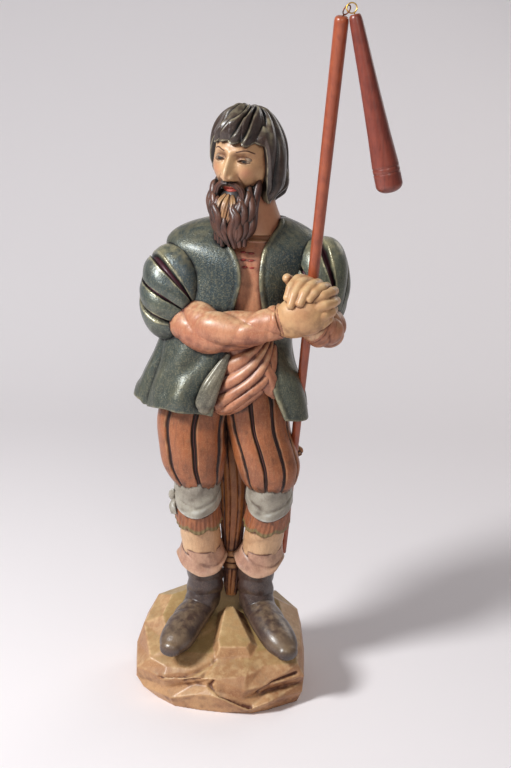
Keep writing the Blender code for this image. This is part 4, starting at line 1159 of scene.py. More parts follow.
# Sleeves: centre, half sizes, and the way from the shoulder to the forearm
SLEEVES = (
    ((-53.5, -6, 418), (32.5, 36, 46), (0.62, -0.60, -0.50)),
    ((85, -4, 429), (28, 36, 47), (0.36, -0.58, -0.73)),
)
FOREARMS = (
    ((-41, -16, 399, 16), (-35, -31, 395, 20.5), (-14, -48, 391, 20.5), (16, -60, 395, 17),
     (36, -66, 402, 14.5), (47, -69, 406.5, 14.5), (51, -70, 408, 13.5)),
    ((84, -14, 404, 15), (91, -27, 398, 17.5), (90.5, -42, 395, 18), (85, -53, 397, 15.5),
     (79, -59, 401, 12.5)),
)
# Slashes round each sleeve, and how far the first is turned
SLASHES = 9
SLASH_TURN = 0.35


def sleeve_wave(angle, share):
    """0 in the middle of a slash, 1 in the middle of a pane."""
    sway = 0.10 * np.sin(5 * share + 2 * angle)
    return np.abs(np.sin((angle + SLASH_TURN + sway) * SLASHES / 2))


def sleeve_open(angle, share):
    """How far a slash stands open; every second one is nearly closed."""
    sway = 0.10 * np.sin(5 * share + 2 * angle)
    number = np.round((angle + SLASH_TURN + sway) * SLASHES / (2 * math.pi))
    own = 0.38 + 0.62 * (np.mod(number, 2) < 0.5)
    return own * smooth(0.06, 0.4, share) * (1 - smooth(0.62, 0.94, share))


def sleeve_relief(angle, share):
    """Puffed panes with slashes that open along the middle of the sleeve."""
    wave, opened = sleeve_wave(angle, share), sleeve_open(angle, share)
    width = 0.08 + 0.32 * opened
    groove = 1 - smooth(width * 0.5, width, wave)
    rim = bell(wave, width + 0.06, 0.06)
    pane = 0.07 * smooth(0.06, 0.4, share) * (1 - smooth(0.62, 0.94, share)) * wave
    dent = 0.014 * np.sin(4 * angle + 11 * share) * wave
    return 1 - (0.06 + 0.12 * opened) * groove + 0.018 * opened * rim + pane + dent


def sleeve_slash(angle, share):
    wave, opened = sleeve_wave(angle, share), sleeve_open(angle, share)
    return (1 - smooth(0.24 * opened, 0.30 * opened + 0.02, wave)) * smooth(0.05, 0.3, opened)


def forearm_relief(angle, share):
    """Slanting wrinkles along the shirt sleeve, and the turned edge at the wrist."""
    slant = np.sin(angle * 2 + share * 15 + 0.8 * np.sin(6 * share))
    slant = slant + 0.6 * np.sin(angle * 3 - share * 24 + 1)
    sharp = np.abs(np.sin(angle * 1.5 + share * 9 + 0.5)) ** 0.6
    sharp = sharp + 0.7 * np.abs(np.sin(angle - share * 13)) ** 0.6 - 1.1
    cuff = 0.15 * smooth(0.90, 0.93, share) - 0.05 * bell(share, 0.885, 0.015)
    fade = (1 - smooth(0.80, 0.90, share)) * (0.6 + 0.4 * smooth(0.0, 0.25, share))
    return 1 + (0.045 * slant + 0.16 * sharp) * fade + cuff


# Lacing on the chest: x and z of the middle of each dash
LACING = ((11.2, 463), (18.7, 462), (11.4, 456.3), (19.0, 455.8), (13.2, 449.8), (19.8, 449.2))


def on_shirt(x, z):
    """Point of the shirt's front at a given place, and its outward direction."""
    levels = spline(SHIRT, 200)
    cx, cy, hw, hd = [np.interp(z, levels[:, 0], levels[:, k]) for k in (1, 2, 3, 4)]
    across = (x - cx) / hw
    y = cy - hd * (1 - abs(across) ** BODY_SQUARE) ** (1 / BODY_SQUARE)
    return (x, y, z), unit((across, -1.0, 0.35))


def lacing():
    spots, outwards = zip(*[on_shirt(x, z) for x, z in LACING])
    dash, faces, _ = ball((0, 0, 0), (0.8, 1.0, 2.5), rows=20, around=24)
    ways = [(1.0, 0.0, 0.05)] * len(spots)
    planted("lacing", spots, ways, outwards, (dash, faces), 1.0, 0.06, 5, STITCH_PAINT)


def corner_relief(angle, share):
    """Lengthwise creases in the turned-back cloth."""
    return 1 + 0.09 * np.abs(np.sin(3.5 * angle + 2.0 * share)) ** 0.7 + 0.05 * np.sin(9 * share + 2 * angle)


def tail_relief(angle, share):
    return 1 + 0.06 * np.cos(5 * angle)


def dress():
    piece("shirt", [stack(SHIRT, rows=260, around=220, relief=shirt_relief, mark=shaded_bare_neck)], SHIRT_PAINT)
    lacing()
    tail = sweep(BLOUSE_TAIL, rows=40, around=60, relief=tail_relief, up=(0, 1, 0), dome=0.7, flat=0.6)
    piece("blouse", [stack(BLOUSE, rows=130, around=260, relief=blouse_relief), tail], SHIRT_PAINT)
    piece("jacket", [jacket()], JACKET_PAINT)
    roll = sweep(TURNED_CORNER, rows=90, around=110, relief=corner_relief, up=(0, 1, 0), dome=0.8, flat=0.5)
    piece("jacket_corner", [roll], LINING_PAINT)
    for name, k in (("left", 0), ("right", 1)):
        piece(f"sleeve_{name}", [puff(*SLEEVES[k], 150, 340, sleeve_relief, sleeve_slash)], SLEEVE_PAINT)
        forearm = sweep(FOREARMS[k], rows=100, around=150, relief=forearm_relief, up=(0, 0, 1), dome=0.5)
        piece(f"forearm_{name}", [forearm], SHIRT_PAINT)


# Hands: keys of each finger (x, y, z, radius)
NEAR_HAND = (
    (46, -71, 406, 13), (55, -75, 409, 17.5), (66, -78, 414, 19.5), (76, -77, 417, 19), (84, -74, 419, 15),
)
NEAR_FINGERS = (
    ((72, -82, 428, 5), (82, -82, 433, 5.2), (91, -76, 436, 4.9), (96, -66, 436, 4.5)),
    ((74, -84, 421, 5), (84, -84, 425, 5.4), (93, -78, 427, 5.1), (98, -67, 427, 4.6)),
    ((74, -83, 413, 5), (84, -83, 416, 5.4), (92, -77, 418, 5.1), (96, -67, 419, 4.6)),
    ((73, -80, 405, 5), (83, -79, 407, 5.2), (90, -73, 410, 4.8), (93, -64, 412, 4.3)),
)
FAR_HAND = ((84, -58, 400, 11), (82, -60, 411, 13), (77, -60, 424, 14), (71, -60, 434, 11))
FAR_FINGERS = (
    ((72, -62, 443, 4.8), (64, -68, 446, 5), (57, -77, 441, 4.8), (53, -84, 431, 4.3)),
    ((74, -66, 443, 4.8), (66, -75, 444, 5), (60, -83, 436, 4.9), (56, -88, 425, 4.3)),
    ((81, -66, 442, 4.8), (76, -76, 442, 5.2), (69, -84, 437, 4.9), (64, -89, 427, 4.3)),
    ((89, -66, 439, 4.6), (85, -75, 440, 5), (78, -83, 437, 4.7), (72, -87, 431, 4.2)),
)
FAR_THUMB = ((66, -56, 436, 5.5), (58, -60, 441, 5.4), (52, -64, 446, 4.6))


def finger_relief(angle, share):
    """Swells at the knuckles."""
    knuckles = 0.10 * bell(share, 0.05, 0.1) + 0.12 * bell(share, 0.42, 0.08) + 0.08 * bell(share, 0.74, 0.07)
    return 0.95 + knuckles + np.zeros_like(angle)


def fingers(rows_of_keys):
    up = (0.1, 0.2, 1)
    return [sweep(keys, rows=30, around=28, relief=finger_relief, up=up, dome=0.8) for keys in rows_of_keys]


def hands():
    palm = sweep(NEAR_HAND, rows=30, around=50, up=(0, 1, 0), dome=0.5, flat=0.72)
    far = sweep(FAR_HAND, rows=24, around=40, up=(0, 1, 0), dome=0.5, flat=0.8)
    piece("near_hand", [palm] + fingers(NEAR_FINGERS), HANDS, voxel=0.6, relax=3, fine=0.3)
    piece("far_hand", [far] + fingers(FAR_FINGERS + (FAR_THUMB,)), HANDS, voxel=0.6, relax=3, fine=0.3)


# Head: its own axes are side, back and up
HEAD_CENTRE = (11.0, -8.0, 549.0)
HEAD_TURN = math.radians(24)
HEAD_ROLL = math.radians(5)
HEAD_NOD = math.radians(4)
SKULL = (28.5, 36.0, 45.5)
EYE = (12.2, -24.3, 0.5)
EYE_RADIUS = 6.6


def head_axes():
    """Rows are the head's side, back and up directions."""
    turns = ((-HEAD_NOD, "X"), (-HEAD_ROLL, "Y"), (HEAD_TURN, "Z"))
    nod, roll, turn = [np.array(Matrix.Rotation(angle, 3, axis)) for angle, axis in turns]
    return nod @ roll @ turn


def from_head(points):
    return np.array(points, float) @ head_axes() + HEAD_CENTRE


def to_head(points):
    return (np.array(points, float) - HEAD_CENTRE) @ head_axes().T


# Broad forms of the face: height, then place and width across, then place and width upwards
FACE_FORMS = (
    (2.8, 10, 11, 9.5, 4.2),  # brows
    (-0.8, 0, 4, 9, 5),  # between the brows
    (-4.4, 12, 8, 2.5, 6),  # eye sockets
    (-2.0, 6.5, 3, 2, 5),  # inner corners
    (3.0, 12.3, 7, 0.4, 4.4),  # eyeballs under the lids
    (4.2, 5.4, 2.2, -13.8, 3),  # wings of the nose
    (-0.8, 8.6, 1.3, -13.5, 3.5),  # beside the wings
    (-2.6, 3.2, 1.3, -17.2, 1.2),  # nostrils
    (2.8, 17, 8, -8, 8),  # cheekbones
    (-1.2, 20, 6, -24, 8),  # hollows of the cheeks
    (1.9, 0, 8.5, -23.6, 2.0),  # upper lip
    (2.4, 0, 7.5, -28.0, 2.4),  # lower lip
    (-0.7, 0, 1.3, -20.5, 2.2),  # groove under the nose
    (4.0, 0, 8, -40, 6),  # chin
    (-1.2, 23, 5, 8, 10),  # temples
)


def lid_gap(x, z):
    """How far a point lies inside the almond opening of the eye, in units."""
    across = (np.abs(x) - EYE[0]) / 5.6
    rise = np.clip(1 - across**2, 0, 1)
    upper = EYE[2] + 1.8 * rise - 0.3 * across
    lower = EYE[2] - 1.2 * rise - 0.3 * across
    return np.minimum(upper - z, z - lower) - 4 * np.clip(np.abs(across) - 1, 0, 2)


def face_forward(x, z):
    """How far the features stand forward of the skull."""
    ax = np.abs(x)
    gap = lid_gap(x, z)
    forms = 0.0
    for height, across, wide, up, tall in FACE_FORMS:
        forms = forms + height * bell(ax, across, wide) * bell(z, up, tall)
    lids = 0.9 * bell(gap, -0.5, 0.8) * bell(ax, 12.3, 6.5)
    crease = -0.8 * bell(gap, -2.4, 0.6) * smooth(1.0, 2.5, z) * bell(ax, 12.3, 6.0)
    opening = -3.4 * smooth(-0.15, 0.5, gap)
    ridge = (2.5 + 9.0 * smooth(8, -13, z)) * bell(x, 0, 3.0 + 1.8 * smooth(4, -12, z))
    nose = ridge * smooth(14, 6, z) * smooth(-19.0, -16.0, z)
    fold = -0.9 * bell(ax - 9.5 - 0.35 * (-15 - z), 0, 1.4) * smooth(-12, -16, z) * smooth(-30, -24, z)
    parting = -1.7 * bell(ax, 0, 8.5) * bell(z, -25.6 + 0.6 * bell(ax, 3, 2), 0.7)
    return forms + lids + crease + opening + nose + fold + parting


def head(rows=250, around=330):
    """Skull and face; narrower below the cheeks."""
    angle = np.linspace(0, 2 * math.pi, around, endpoint=False)
    out = []
    for v in np.linspace(0.05, math.pi - 0.05, rows):
        level = np.full(around, math.cos(v))
        d = np.stack([math.sin(v) * np.cos(angle), math.sin(v) * np.sin(angle), level], 1)
        p = d * SKULL
        p[:, 0] *= 1 - 0.20 * smooth(-8, -44, p[:, 2])
        front = smooth(0.0, 0.5, -d[:, 1])
        p[:, 1] -= front * face_forward(p[:, 0], p[:, 2])
        out.append(p)
    return skin(from_head(np.array(out).reshape(-1, 3)).reshape(rows, around, 3))


def mark_face(made):
    """Paint masks of lips, brows, lash lines and rosy cheeks and nose, from the head's own axes."""
    points, _, _ = mesh_arrays(made.data)
    x, y, z = to_head(to_drawing(points)).T
    ax, front = np.abs(x), smooth(-12, -20, y)
    width = np.clip(1 - (ax / 8.6) ** 2, 0, 1)
    lips = smooth(0.2, 1.0, (3.4 * width**0.6 - np.abs(z + 26.0)) * 0.8 + 0.1)
    arch = 9.0 + 2.2 * bell(ax, 13.5, 5.5) - 0.9 * smooth(15, 21, ax)
    brow = bell(z, arch, 0.75) * smooth(4.5, 6.5, ax) * smooth(21.5, 19, ax)
    gap = lid_gap(x, z)
    off = np.abs(ax - EYE[0])
    lash = bell(gap, -0.15, 0.42) * smooth(EYE[2] - 0.2, EYE[2] + 0.6, z) * smooth(7.2, 5.8, off)
    lower = 0.5 * bell(gap, -0.15, 0.4) * smooth(EYE[2], EYE[2] - 0.6, z) * smooth(6.6, 5.0, off)
    blush_and_neck_shade = bell(ax, 15, 7) * bell(z, -9, 7) + 0.6 * bell(x, 0, 5) * bell(z, -13, 5)
    set_mark(made.data, "zone", lips * front)
    set_mark(made.data, "brow", np.maximum(np.maximum(brow, lash), lower) * front)
    set_mark(made.data, "blush_and_neck_shade", blush_and_neck_shade * front)


def eyes():
    """Two painted eyeballs that show between the lids."""
    balls = []
    for side in (-1, 1):
        centre = from_head([(side * EYE[0], EYE[1], EYE[2])])[0]
        balls.append(ball(centre, (EYE_RADIUS,) * 3, rows=60, around=90, axes=head_axes()))
    made = piece("eyes", balls, EYES)
    points, _, _ = mesh_arrays(made.data)
    x, y, z = to_head(to_drawing(points)).T
    off = np.hypot(np.abs(x) - EYE[0], z - EYE[2] - 0.3)
    front = y < EYE[1]
    set_mark(made.data, "zone", front * smooth(2.75, 2.3, off))
    set_mark(made.data, "brow", front * smooth(1.15, 0.75, off))


# Neck sections, number of locks round the hair, and height of the crown over the head's centre
NECK = ((478, 22, 2, 27, 24), (492, 21, 2, 25, 22), (508, 17, 0, 23, 21), (526, 14, 0, 22, 21))
LOCKS = 15
HAIR_CROWN = 45.5


def hair_low(angle):
    """Lower edge of the hair: a fringe in front, the nape and temples lower."""
    front = smooth(0.22, 0.52, -np.sin(angle))
    nape = smooth(0.1, 0.9, np.sin(angle))
    far = smooth(0.3, 0.9, -np.cos(angle)) * smooth(-0.6, 0.2, -np.sin(angle))
    return -34 + 52 * front - 5 * nape + 24 * far * (1 - front)


def lock_place(angle, t):
    """Number of the lock and place across it, from 0 to 1, at a share of the way down from the crown."""
    wave = 0.07 * np.sin(3 * angle + 6 * t) + 0.045 * np.sin(7 * angle + 2)
    wave = wave + 0.03 * np.sin(13 * t + 5 * angle)
    turn = (angle + 0.8 * t + wave) * LOCKS / (2 * math.pi)
    number = np.floor(turn)
    return np.mod(number, LOCKS), turn - number


def hair(rows=220, around=520, thick=6.0):
    """Cap of hair in thick overlapping locks from the crown, cut over the brow and turned out at the neck."""
    angle = np.linspace(0, 2 * math.pi, around, endpoint=False)
    number, phase = lock_place(angle, 1.0)
    own = np.sin(2.4 * number) * np.sin(math.pi * phase)
    low = hair_low(angle) - 3.0 * np.sin(math.pi * phase**0.7) - 1.5 * own
    reach = np.arccos(low / HAIR_CROWN)
    back = smooth(-0.4, 0.6, np.sin(angle))
    side = smooth(0.0, 0.6, -np.sin(angle)) * smooth(0.2, 0.8, np.abs(np.cos(angle)))
    out = []
    steps = [(t, 1.0, 0.0) for t in np.linspace(0.015, 1, rows)]
    steps += [(1.0, 0.8, -0.5), (1.0, 0.45, -0.3), (1.0, -0.4, 1.2)]
    for t, keep, drop in steps:
        v = reach * t
        z = HAIR_CROWN * np.cos(v)
        rim = np.where(v < math.pi / 2, np.sin(v), np.sqrt(1 - np.clip(z / HAIR_CROWN, -0.35, 0) ** 2))
        number, phase = lock_place(angle, t)
        lock = np.sin(math.pi * phase**0.62) ** 0.9 * (1 + 0.22 * np.sin(1.7 * number + 9 * t))
        strand = np.abs(np.sin(2 * math.pi * phase + 0.9 * np.sin(7 * t + number)))
        depth = smooth(0.02, 0.20, t)
        grow = thick * (0.50 + 0.80 * lock * depth + 0.06 * strand * depth)
        grow = grow * (0.85 + 0.3 * smooth(0.1, 0.7, t)) * (1 - 0.4 * side * smooth(0.4, 0.8, t))
        bulge = 7.0 * bell(z, -21, 12) * (0.3 + 0.7 * back)
        grow = (grow + bulge) * (1 - (0.35 + 0.4 * back) * smooth(0.86, 1.0, t))
        up = 0.75 * np.clip(np.cos(v), 0, 1)
        out_share = np.sqrt(1 - up**2)
        lift = grow * keep
        outward = out_share * lift * np.where(v < math.pi / 2, np.sin(v) ** 0.5, 1.0)
        x = (SKULL[0] * rim + outward) * np.cos(angle)
        y = (SKULL[1] * rim + outward) * np.sin(angle)
        out.append(np.stack([x, y, z + up * lift + drop], 1))
    return skin(from_head(np.array(out).reshape(-1, 3)).reshape(len(steps), around, 3))


# Centre and half sizes of the beard's inner mass
BEARD_CORE = ((1, -17, -44), (19, 18, 24))


def beard_locks():
    """Keys of the beard's wavy locks in the head's axes, from the jaw and cheeks down to the point."""
    locks = []
    for side in (-1, 1):
        for k, inner in enumerate(np.linspace(0, 1, 6)):
            wave = 1.7 * (-1) ** k
            top = (side * (19 - 10 * inner), -12 - 23 * inner**0.7, -14 - 23 * inner**0.6)
            high = (side * (20 - 10.5 * inner) + wave, -17 - 20 * inner**0.7, -22 - 20 * inner)
            mid = (side * (21.5 - 12.5 * inner) + 2 - wave, -24 - 15 * inner**0.7, -40 - 10 * inner)
            low = (side * (17 - 11 * inner) + 6 + wave, -31 - 9 * inner, -58 - 5 * inner)
            end = -72 - 4 * inner + 2 * math.sin(3 * k + side)
            tip = (side * (14 - 10 * inner) + 8 - wave, -35 - 4 * inner, end)
            locks.append([top + (2.0,), high + (4.4,), mid + (5.6,), low + (5.2,), tip + (2.4,)])
    locks.append([(0, -37, -48, 3.0), (1, -40, -58, 4.6), (5, -40, -67, 4.2), (8, -39, -76, 2.2)])
    return locks


MOUSTACHE = (
    (1.5, -34.5, -19.8, 1.9), (7, -33.8, -21.0, 2.9), (12.5, -31, -26.5, 3.3), (14.5, -31.5, -37, 3.2),
    (12, -35, -50, 2.0),
)
TUFT = ((0, -31.5, -32, 2.4), (0, -35.5, -39, 4.4), (0, -38.5, -48, 4.2), (0, -39, -57, 2.2))
TUFT_SPREAD = 1.5
LOCK_UP = (0.3, 1, 0.1)


def turned(keys, mirror=1):
    keys = np.array(keys, float)
    keys[:, 0] *= mirror
    keys[:, :3] = from_head(keys[:, :3])
    return keys


def strands(count, twist):
    """Fine strands along a lock."""

    def relief(angle, share):
        return 1 - 0.20 * (1 - np.abs(np.sin(count / 2 * (angle + twist * share)))) ** 1.3

    return relief


def beard():
    parts = [ball(from_head([BEARD_CORE[0]])[0], BEARD_CORE[1], rows=40, around=60, axes=head_axes())]
    for k, keys in enumerate(beard_locks()):
        fine = strands(3, 2.0 - 0.3 * k)
        parts.append(sweep(turned(keys), rows=70, around=60, relief=fine, up=LOCK_UP, dome=0.8))
    piece("beard", parts, BEARD)
    parts = []
    for side in (-1, 1):
        fine = strands(7, side)
        parts.append(sweep(turned(MOUSTACHE, side), rows=50, around=44, relief=fine, up=LOCK_UP, dome=0.8))
    piece("moustache", parts, BEARD)
    tuft = []
    for side, sink in ((-1, 0.8), (0, 0.0), (1, 0.8)):
        keys = [(x + side * TUFT_SPREAD * radius, y + sink, z, radius) for x, y, z, radius in TUFT]
        fine = strands(7, 0.6 + 0.4 * side)
        tuft.append(sweep(turned(keys), rows=40, around=48, relief=fine, up=LOCK_UP, dome=0.8))
    piece("chin_tuft", tuft, TUFT_PAINT)


def head_pieces():
    mark_face(piece("head", [head()], SKIN, fine=0.35))
    eyes()
    neck = piece("neck", [stack(NECK, rows=40, around=90, square=2.1)], SKIN)
    # The neck takes the rosy colour all over, as painted shade under the head and beard
    for name, value in (("brow", 0.0), ("blush_and_neck_shade", 1.0)):
        set_mark(neck.data, name, np.full(len(neck.data.vertices), value))
    piece("hair", [hair()], HAIR, fine=0.5)
    beard()


# Wheat sheaf behind the legs
SHEAF = (
    (92, 9, 12, 6, 5), (104, 9, 12, 8.5, 7), (122, 9, 12, 9.5, 8), (146, 8.5, 13, 10.5, 8),
    (180, 8, 15, 13.5, 9), (230, 8, 19, 17, 10), (285, 9, 25, 21, 11),
)
# Heights of the tie's ends, then numbers of ears, rows of grains, grains round an ear, and stalks
TIE = (124, 144)
EARS = 9
GRAIN_ROWS = 15
GRAINS_AROUND = 7
STALKS = 13


def sheaf_relief(angle, z, share):
    lean = 0.25 * np.sin(z / 40)
    uneven = 0.12 * np.sin(3 * angle + 1)
    return 1 - 0.14 * (1 - smooth(0.0, 0.6, np.abs(np.sin(STALKS / 2 * (angle + lean + uneven)))))


def ear_keys(spread):
    foot = (9 + 22 * spread, 26, 236 - 10 * spread**2)
    tip = (9 + 66 * spread, 35 - 16 * spread**2, 284 - 31 * spread**2)
    mid = tuple(0.5 * (a + b) for a, b in zip(foot, tip))
    return [foot + (3.5,), mid + (6.0,), tip + (4.2,)]


def grains():
    """Spots of the grains in rows along every ear, with their ways and outward directions."""
    spots, ways, outwards = [], [], []
    for spread in np.linspace(-1, 1, EARS):
        line = spline(ear_keys(spread), GRAIN_ROWS + 2)[1:]
        tangent, side, lift = frames(line[:, :3], (0, 1, 0))
        for row in range(GRAIN_ROWS):
            for k in range(GRAINS_AROUND):
                turn = 2 * math.pi * (k + 0.5 * (row % 2)) / GRAINS_AROUND
                outward = math.cos(turn) * side[row] + math.sin(turn) * lift[row]
                spots.append(line[row, :3] + outward * line[row, 3] * 0.86)
                ways.append(unit(tangent[row] + 0.32 * outward))
                outwards.append(outward)
    return spots, ways, outwards


def sheaf():
    piece("sheaf_stalks", [stack(SHEAF, rows=90, around=200, relief=sheaf_relief, square=2.0)], SHEAF_PAINT)
    ridges = 3
    step = (TIE[1] - TIE[0]) / ridges
    bands = []
    for k in range(ridges):
        z = TIE[0] + step * (k + 0.5)
        turns = ((-0.5, 8.8), (-0.38, 10.4), (0, 11.2), (0.38, 10.4), (0.5, 8.8))
        rows = [(z + d * step, 9, 12.5, r, r * 0.88) for d, r in turns]
        bands.append(stack(rows, rows=17, around=120, square=2.0))
    piece("sheaf_tie", bands, TIE_PAINT)
    spreads = np.linspace(-1, 1, EARS)
    ears = [sweep(ear_keys(spread), rows=30, around=24, up=(0, 1, 0), dome=0.8) for spread in spreads]
    piece("sheaf_ears", ears, SHEAF_PAINT)
    points, faces, _ = ball((0, 0, 0), (1.5, 2.1, 4.0), rows=10, around=12)
    planted("ear_grains", *grains(), (points, faces), 1.0, 0.12, 11, SHEAF_PAINT)


# Rock: corners from the front left, round by the right; levels from the foot to the top
ROCK_FOOT = (
    (-62, -46), (-44, -61), (-18, -67), (4, -70), (36, -69), (52, -62), (81, -44), (86, -8), (82, 34),
    (58, 62), (10, 70), (-40, 64), (-74, 36), (-76, -14),
)
ROCK_LOW = (
    (-78, -42, 10), (-48, -66, 12), (-22, -73, 21), (2, -78, 22), (31, -77, 8), (51, -73, 15),
    (86, -48, 14), (88, -6, 12), (86, 38, 14), (62, 68, 16), (12, 74, 16), (-43, 69, 16), (-82, 42, 14),
    (-86, -6, 10),
)
ROCK_WAIST = (
    (-86, -36, 19), (-53, -60, 21), (-24, -62, 27), (-5, -70, 29), (24, -72, 17), (50, -59, 21),
    (87, -43, 23), (89, -6, 26), (88, 40, 30), (62, 70, 34), (12, 75, 36), (-44, 70, 34), (-84, 42, 32),
    (-89.5, -4, 22),
)
ROCK_SHELF = (
    (-85, -41, 32), (-56, -64, 33), (-26, -67, 36), (-6, -69, 37), (27, -74, 28), (49, -67, 31),
    (87, -50, 33), (88, -6, 40), (86, 39, 46), (61, 66, 54), (12, 72, 58), (-43, 67, 56), (-82, 41, 52),
    (-89, -3, 40),
)
ROCK_EDGE = (
    (-71, -45, 45), (-53, -57, 42), (-28, -60, 42), (-6, -61, 41), (27, -67, 40), (46, -54, 45),
    (80, -50, 47), (84, -6, 57), (81, 34, 66), (58, 56, 76), (12, 64, 80), (-40, 58, 80), (-70, 36, 77),
    (-82, -2, 62),
)
ROCK_TOP = (
    (-50, -36, 56), (-42, -42, 52), (-22, -44, 52), (-4, -44, 53), (22, -44, 53), (40, -40, 54),
    (62, -34, 56), (66, -4, 69), (60, 24, 80), (42, 38, 85), (10, 42, 87), (-28, 38, 87), (-54, 22, 84),
    (-62, -4, 72),
)
STONE_FOOT = ((-6, -51, 44), (35, -49, 44), (42, -33, 53), (22, 4, 74), (-3, 4, 74), (-9, -36, 52))
STONE_TOP = ((0, -46, 60), (27, -44, 60), (31, -37, 63), (12, -2, 84), (4, -2, 84), (-2, -38, 64))


# Crevices in the rock's front, as x and z of their corners, with their depth in drawing units
CREVICES = (
    (((-60, 32), (-34, 36.5), (-9, 45)), 2.6), (((-5, 34.5), (-9, 29.5), (12, 18), (33, 10)), 3.0),
    (((40, 22.5), (55, 33), (79, 37.5)), 3.2), (((-34, 31.5), (-18, 36), (-5, 48)), 1.8),
)
CREVICE_WIDTH = 1.8


def rock_carve(points):
    """Crevices across the front."""
    x, y, z = points.T
    depth = np.zeros(len(points))
    for corners, deep in CREVICES:
        for (x0, z0), (x1, z1) in zip(corners[:-1], corners[1:]):
            across, rise = x1 - x0, z1 - z0
            along = ((x - x0) * across + (z - z0) * rise) / (across**2 + rise**2)
            along = np.clip(along, 0, 1)
            off = np.hypot(x - x0 - along * across, z - z0 - along * rise)
            depth = np.maximum(depth, deep * bell(off, 0, CREVICE_WIDTH) * smooth(-38, -52, y))
    return -depth


def rock():
    """Faceted rock with the upper edge falling towards the front, and a cut stone between the boots."""
    foot = [(x, y, 0.0) for x, y in ROCK_FOOT]
    block = skin([foot, ROCK_LOW, ROCK_WAIST, ROCK_SHELF, ROCK_EDGE, ROCK_TOP])
    made = piece("rock", [block, skin([STONE_FOOT, STONE_TOP])], ROCK_PAINT, voxel=1.0, relax=2,
                 carve=rock_carve, to_metres=place_rock, fine=0.4, wide=2.2)
    # The underside is flat
    points, _, _ = mesh_arrays(made.data)
    points[:, 2] = np.maximum(points[:, 2], 0)
    made.data.vertices.foreach_set("co", points.reshape(-1))
    made.data.update()
    points, normals, _ = mesh_arrays(made.data)
    top = smooth(0.75, 0.95, normals[:, 2]) * smooth(0.03, 0.05, points[:, 2])
    set_mark(made.data, "zone", top)


# Flail: two turned rods on linked screw eyes, with the steps round each shape
ROD_STEPS = 64
RING_STEPS = 96
WIRE_STEPS = 24
SHANK_STEPS = 32


def turned_shape(name, profile, start, along, material, node):
    """Turned rod laid along its axis; profile rows are (distance from the start, radius)."""
    mesh = bpy.data.meshes.new(name)
    count = len(profile)
    rows = [(0.0, 0.0, profile[0][0])] + [(r, 0.0, t) for t, r in profile] + [(0.0, 0.0, profile[-1][0])]
    mesh.from_pydata(rows, [(i, i + 1) for i in range(count + 1)], [])
    made = bpy.data.objects.new(name, mesh)
    bpy.context.scene.collection.objects.link(made)
    spin = made.modifiers.new("turn", "SCREW")
    spin.steps = ROD_STEPS
    spin.render_steps = ROD_STEPS
    spin.use_merge_vertices = True
    spin.merge_threshold = 0.00001
    baked(made)
    made.data.transform(Vector(along).to_track_quat("Z", "Y").to_matrix().to_4x4())
    made.data.transform(Matrix.Translation(Vector(start)))
    face_outwards(made.data)
    made.data.shade_smooth()
    made.data.materials.append(material)
    mark_relief(made.data, fine=0.3, wide=3.0)
    set_mark(made.data, "shade", np.zeros(len(made.data.vertices)))
    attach(made, "root")
    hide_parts(node)
    return made


def fine_profile(profile, step=0.0012):
    """The profile with points added along its long runs."""
    rows = [profile[0]]
    for (t0, r0), (t1, r1) in zip(profile[:-1], profile[1:]):
        count = max(1, int(math.hypot(t1 - t0, r1 - r0) / step))
        for k in range(1, count + 1):
            share = k / count
            rows.append((t0 + (t1 - t0) * share, r0 + (r1 - r0) * share))
    return rows


def staff_profile():
    """Distances down the staff from its top, with radii."""
    length = STAFF_ABOVE_GRIP + STAFF_BELOW_GRIP
    top, end = STAFF_TOP_DIAMETER / 2, STAFF_END_DIAMETER / 2
    tip = 0.3 * STAFF_TOP_DIAMETER
    chamfer = 0.08 * STAFF_END_DIAMETER
    return (
        (0.0, 0.66 * top), (0.1 * tip, 0.78 * top), (0.4 * tip, 0.93 * top), (tip, top),
        (length - chamfer, end), (length, end - chamfer),
    )


def swipple_profile():
    """Distances down the swipple from its top, with radii: slim neck, two grooves, rounded end."""
    neck, end = SWIPPLE_NECK_DIAMETER / 2, SWIPPLE_END_DIAMETER / 2 - ROUND_SPARE
    rows = [(0.0, 0.66 * neck), (0.12 * neck, 0.8 * neck), (0.4 * neck, 0.93 * neck), (1.2 * neck, neck)]
    body = SWIPPLE_LENGTH - SWIPPLE_DOME * end
    for share in (0.15, 0.3, 0.5, 0.7):
        rows.append((body * share, neck + (end - neck) * (0.25 * share + 0.85 * share**1.4)))
    first = body - 3.2 * SWIPPLE_GROOVE_SPACING
    width = 0.15 * SWIPPLE_GROOVE_SPACING
    for k in range(2):
        at = first + k * SWIPPLE_GROOVE_SPACING
        rows += [(at - width, end), (at, end - SWIPPLE_GROOVE_DEPTH), (at + width, end)]
    for turn in np.radians(np.linspace(0, 72, 9)):
        rows.append((body + SWIPPLE_DOME * end * math.sin(turn), end * (0.12 + 0.88 * math.cos(turn))))
    return rows


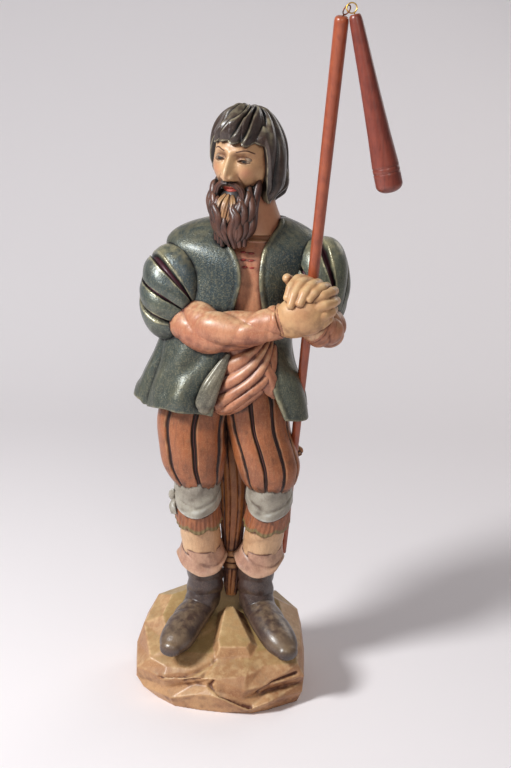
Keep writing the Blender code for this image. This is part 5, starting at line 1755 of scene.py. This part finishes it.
def screw_eye(name, entry, along, spin, material):
    """Wire ring on a shank that runs into the wood at the entry point."""
    along = unit(along)
    centre = entry + along * (EYE_STAND_OFF + EYE_RING_RADIUS)
    across = unit(np.cross(np.cross(along, (1.0, 0.0, 0.0)), along))
    spin = math.radians(spin)
    across = across * math.cos(spin) + np.cross(along, across) * math.sin(spin)
    facing = np.cross(along, across)
    bpy.ops.mesh.primitive_torus_add(
        major_segments=RING_STEPS, minor_segments=WIRE_STEPS,
        major_radius=EYE_RING_RADIUS, minor_radius=EYE_WIRE_RADIUS,
    )
    ring = bpy.context.object
    ring.name = name
    turn = Matrix((tuple(along), tuple(across), tuple(facing))).transposed().to_4x4()
    turn.translation = Vector(centre)
    ring.data.transform(turn)
    reach = EYE_SHANK_LENGTH + EYE_STAND_OFF
    bpy.ops.mesh.primitive_cylinder_add(vertices=SHANK_STEPS, radius=EYE_WIRE_RADIUS, depth=reach)
    shank = bpy.context.object
    stand = Vector(along).to_track_quat("Z", "Y").to_matrix().to_4x4()
    stand.translation = Vector(entry + along * (reach / 2 - EYE_SHANK_LENGTH))
    shank.data.transform(stand)
    joined = ring.modifiers.new("shank", "BOOLEAN")
    joined.operation = "UNION"
    joined.solver = "EXACT"
    joined.object = shank
    baked(ring)
    bpy.data.objects.remove(shank, do_unlink=True)
    ring.data.materials.clear()
    ring.data.materials.append(material)
    ring.data.shade_smooth()
    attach(ring, "root")
    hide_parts(name.replace("_ring", ""))


def flail():
    grip = place([GRIP_POINT])[0]
    along = unit(STAFF_LEAN)
    top = grip + along * STAFF_ABOVE_GRIP
    turned_shape("staff", fine_profile(staff_profile()), top, -along, ROD_STAIN, "flail_staff")
    entry = top + np.array(STAFF_EYE_OFFSET) * STAFF_TOP_DIAMETER
    screw_eye("staff_eye_ring", entry, STAFF_EYE_AXIS, STAFF_EYE_SPIN, COPPER)
    ring = entry + unit(STAFF_EYE_AXIS) * (EYE_STAND_OFF + EYE_RING_RADIUS)
    other_ring = ring + unit(LINK_DIRECTION) * LINK_SPACING * EYE_RING_RADIUS
    swipple_top = other_ring - unit(SWIPPLE_EYE_AXIS) * (EYE_STAND_OFF + EYE_RING_RADIUS)
    turned_shape("swipple", fine_profile(swipple_profile()), swipple_top, SWIPPLE_HANG, SWIPPLE_STAIN,
                 "flail_swipple")
    screw_eye("swipple_eye_ring", swipple_top, SWIPPLE_EYE_AXIS, SWIPPLE_EYE_SPIN, BRASS)


legs()
dress()
hands()
head_pieces()
sheaf()
rock()
mark_shade()
flail()
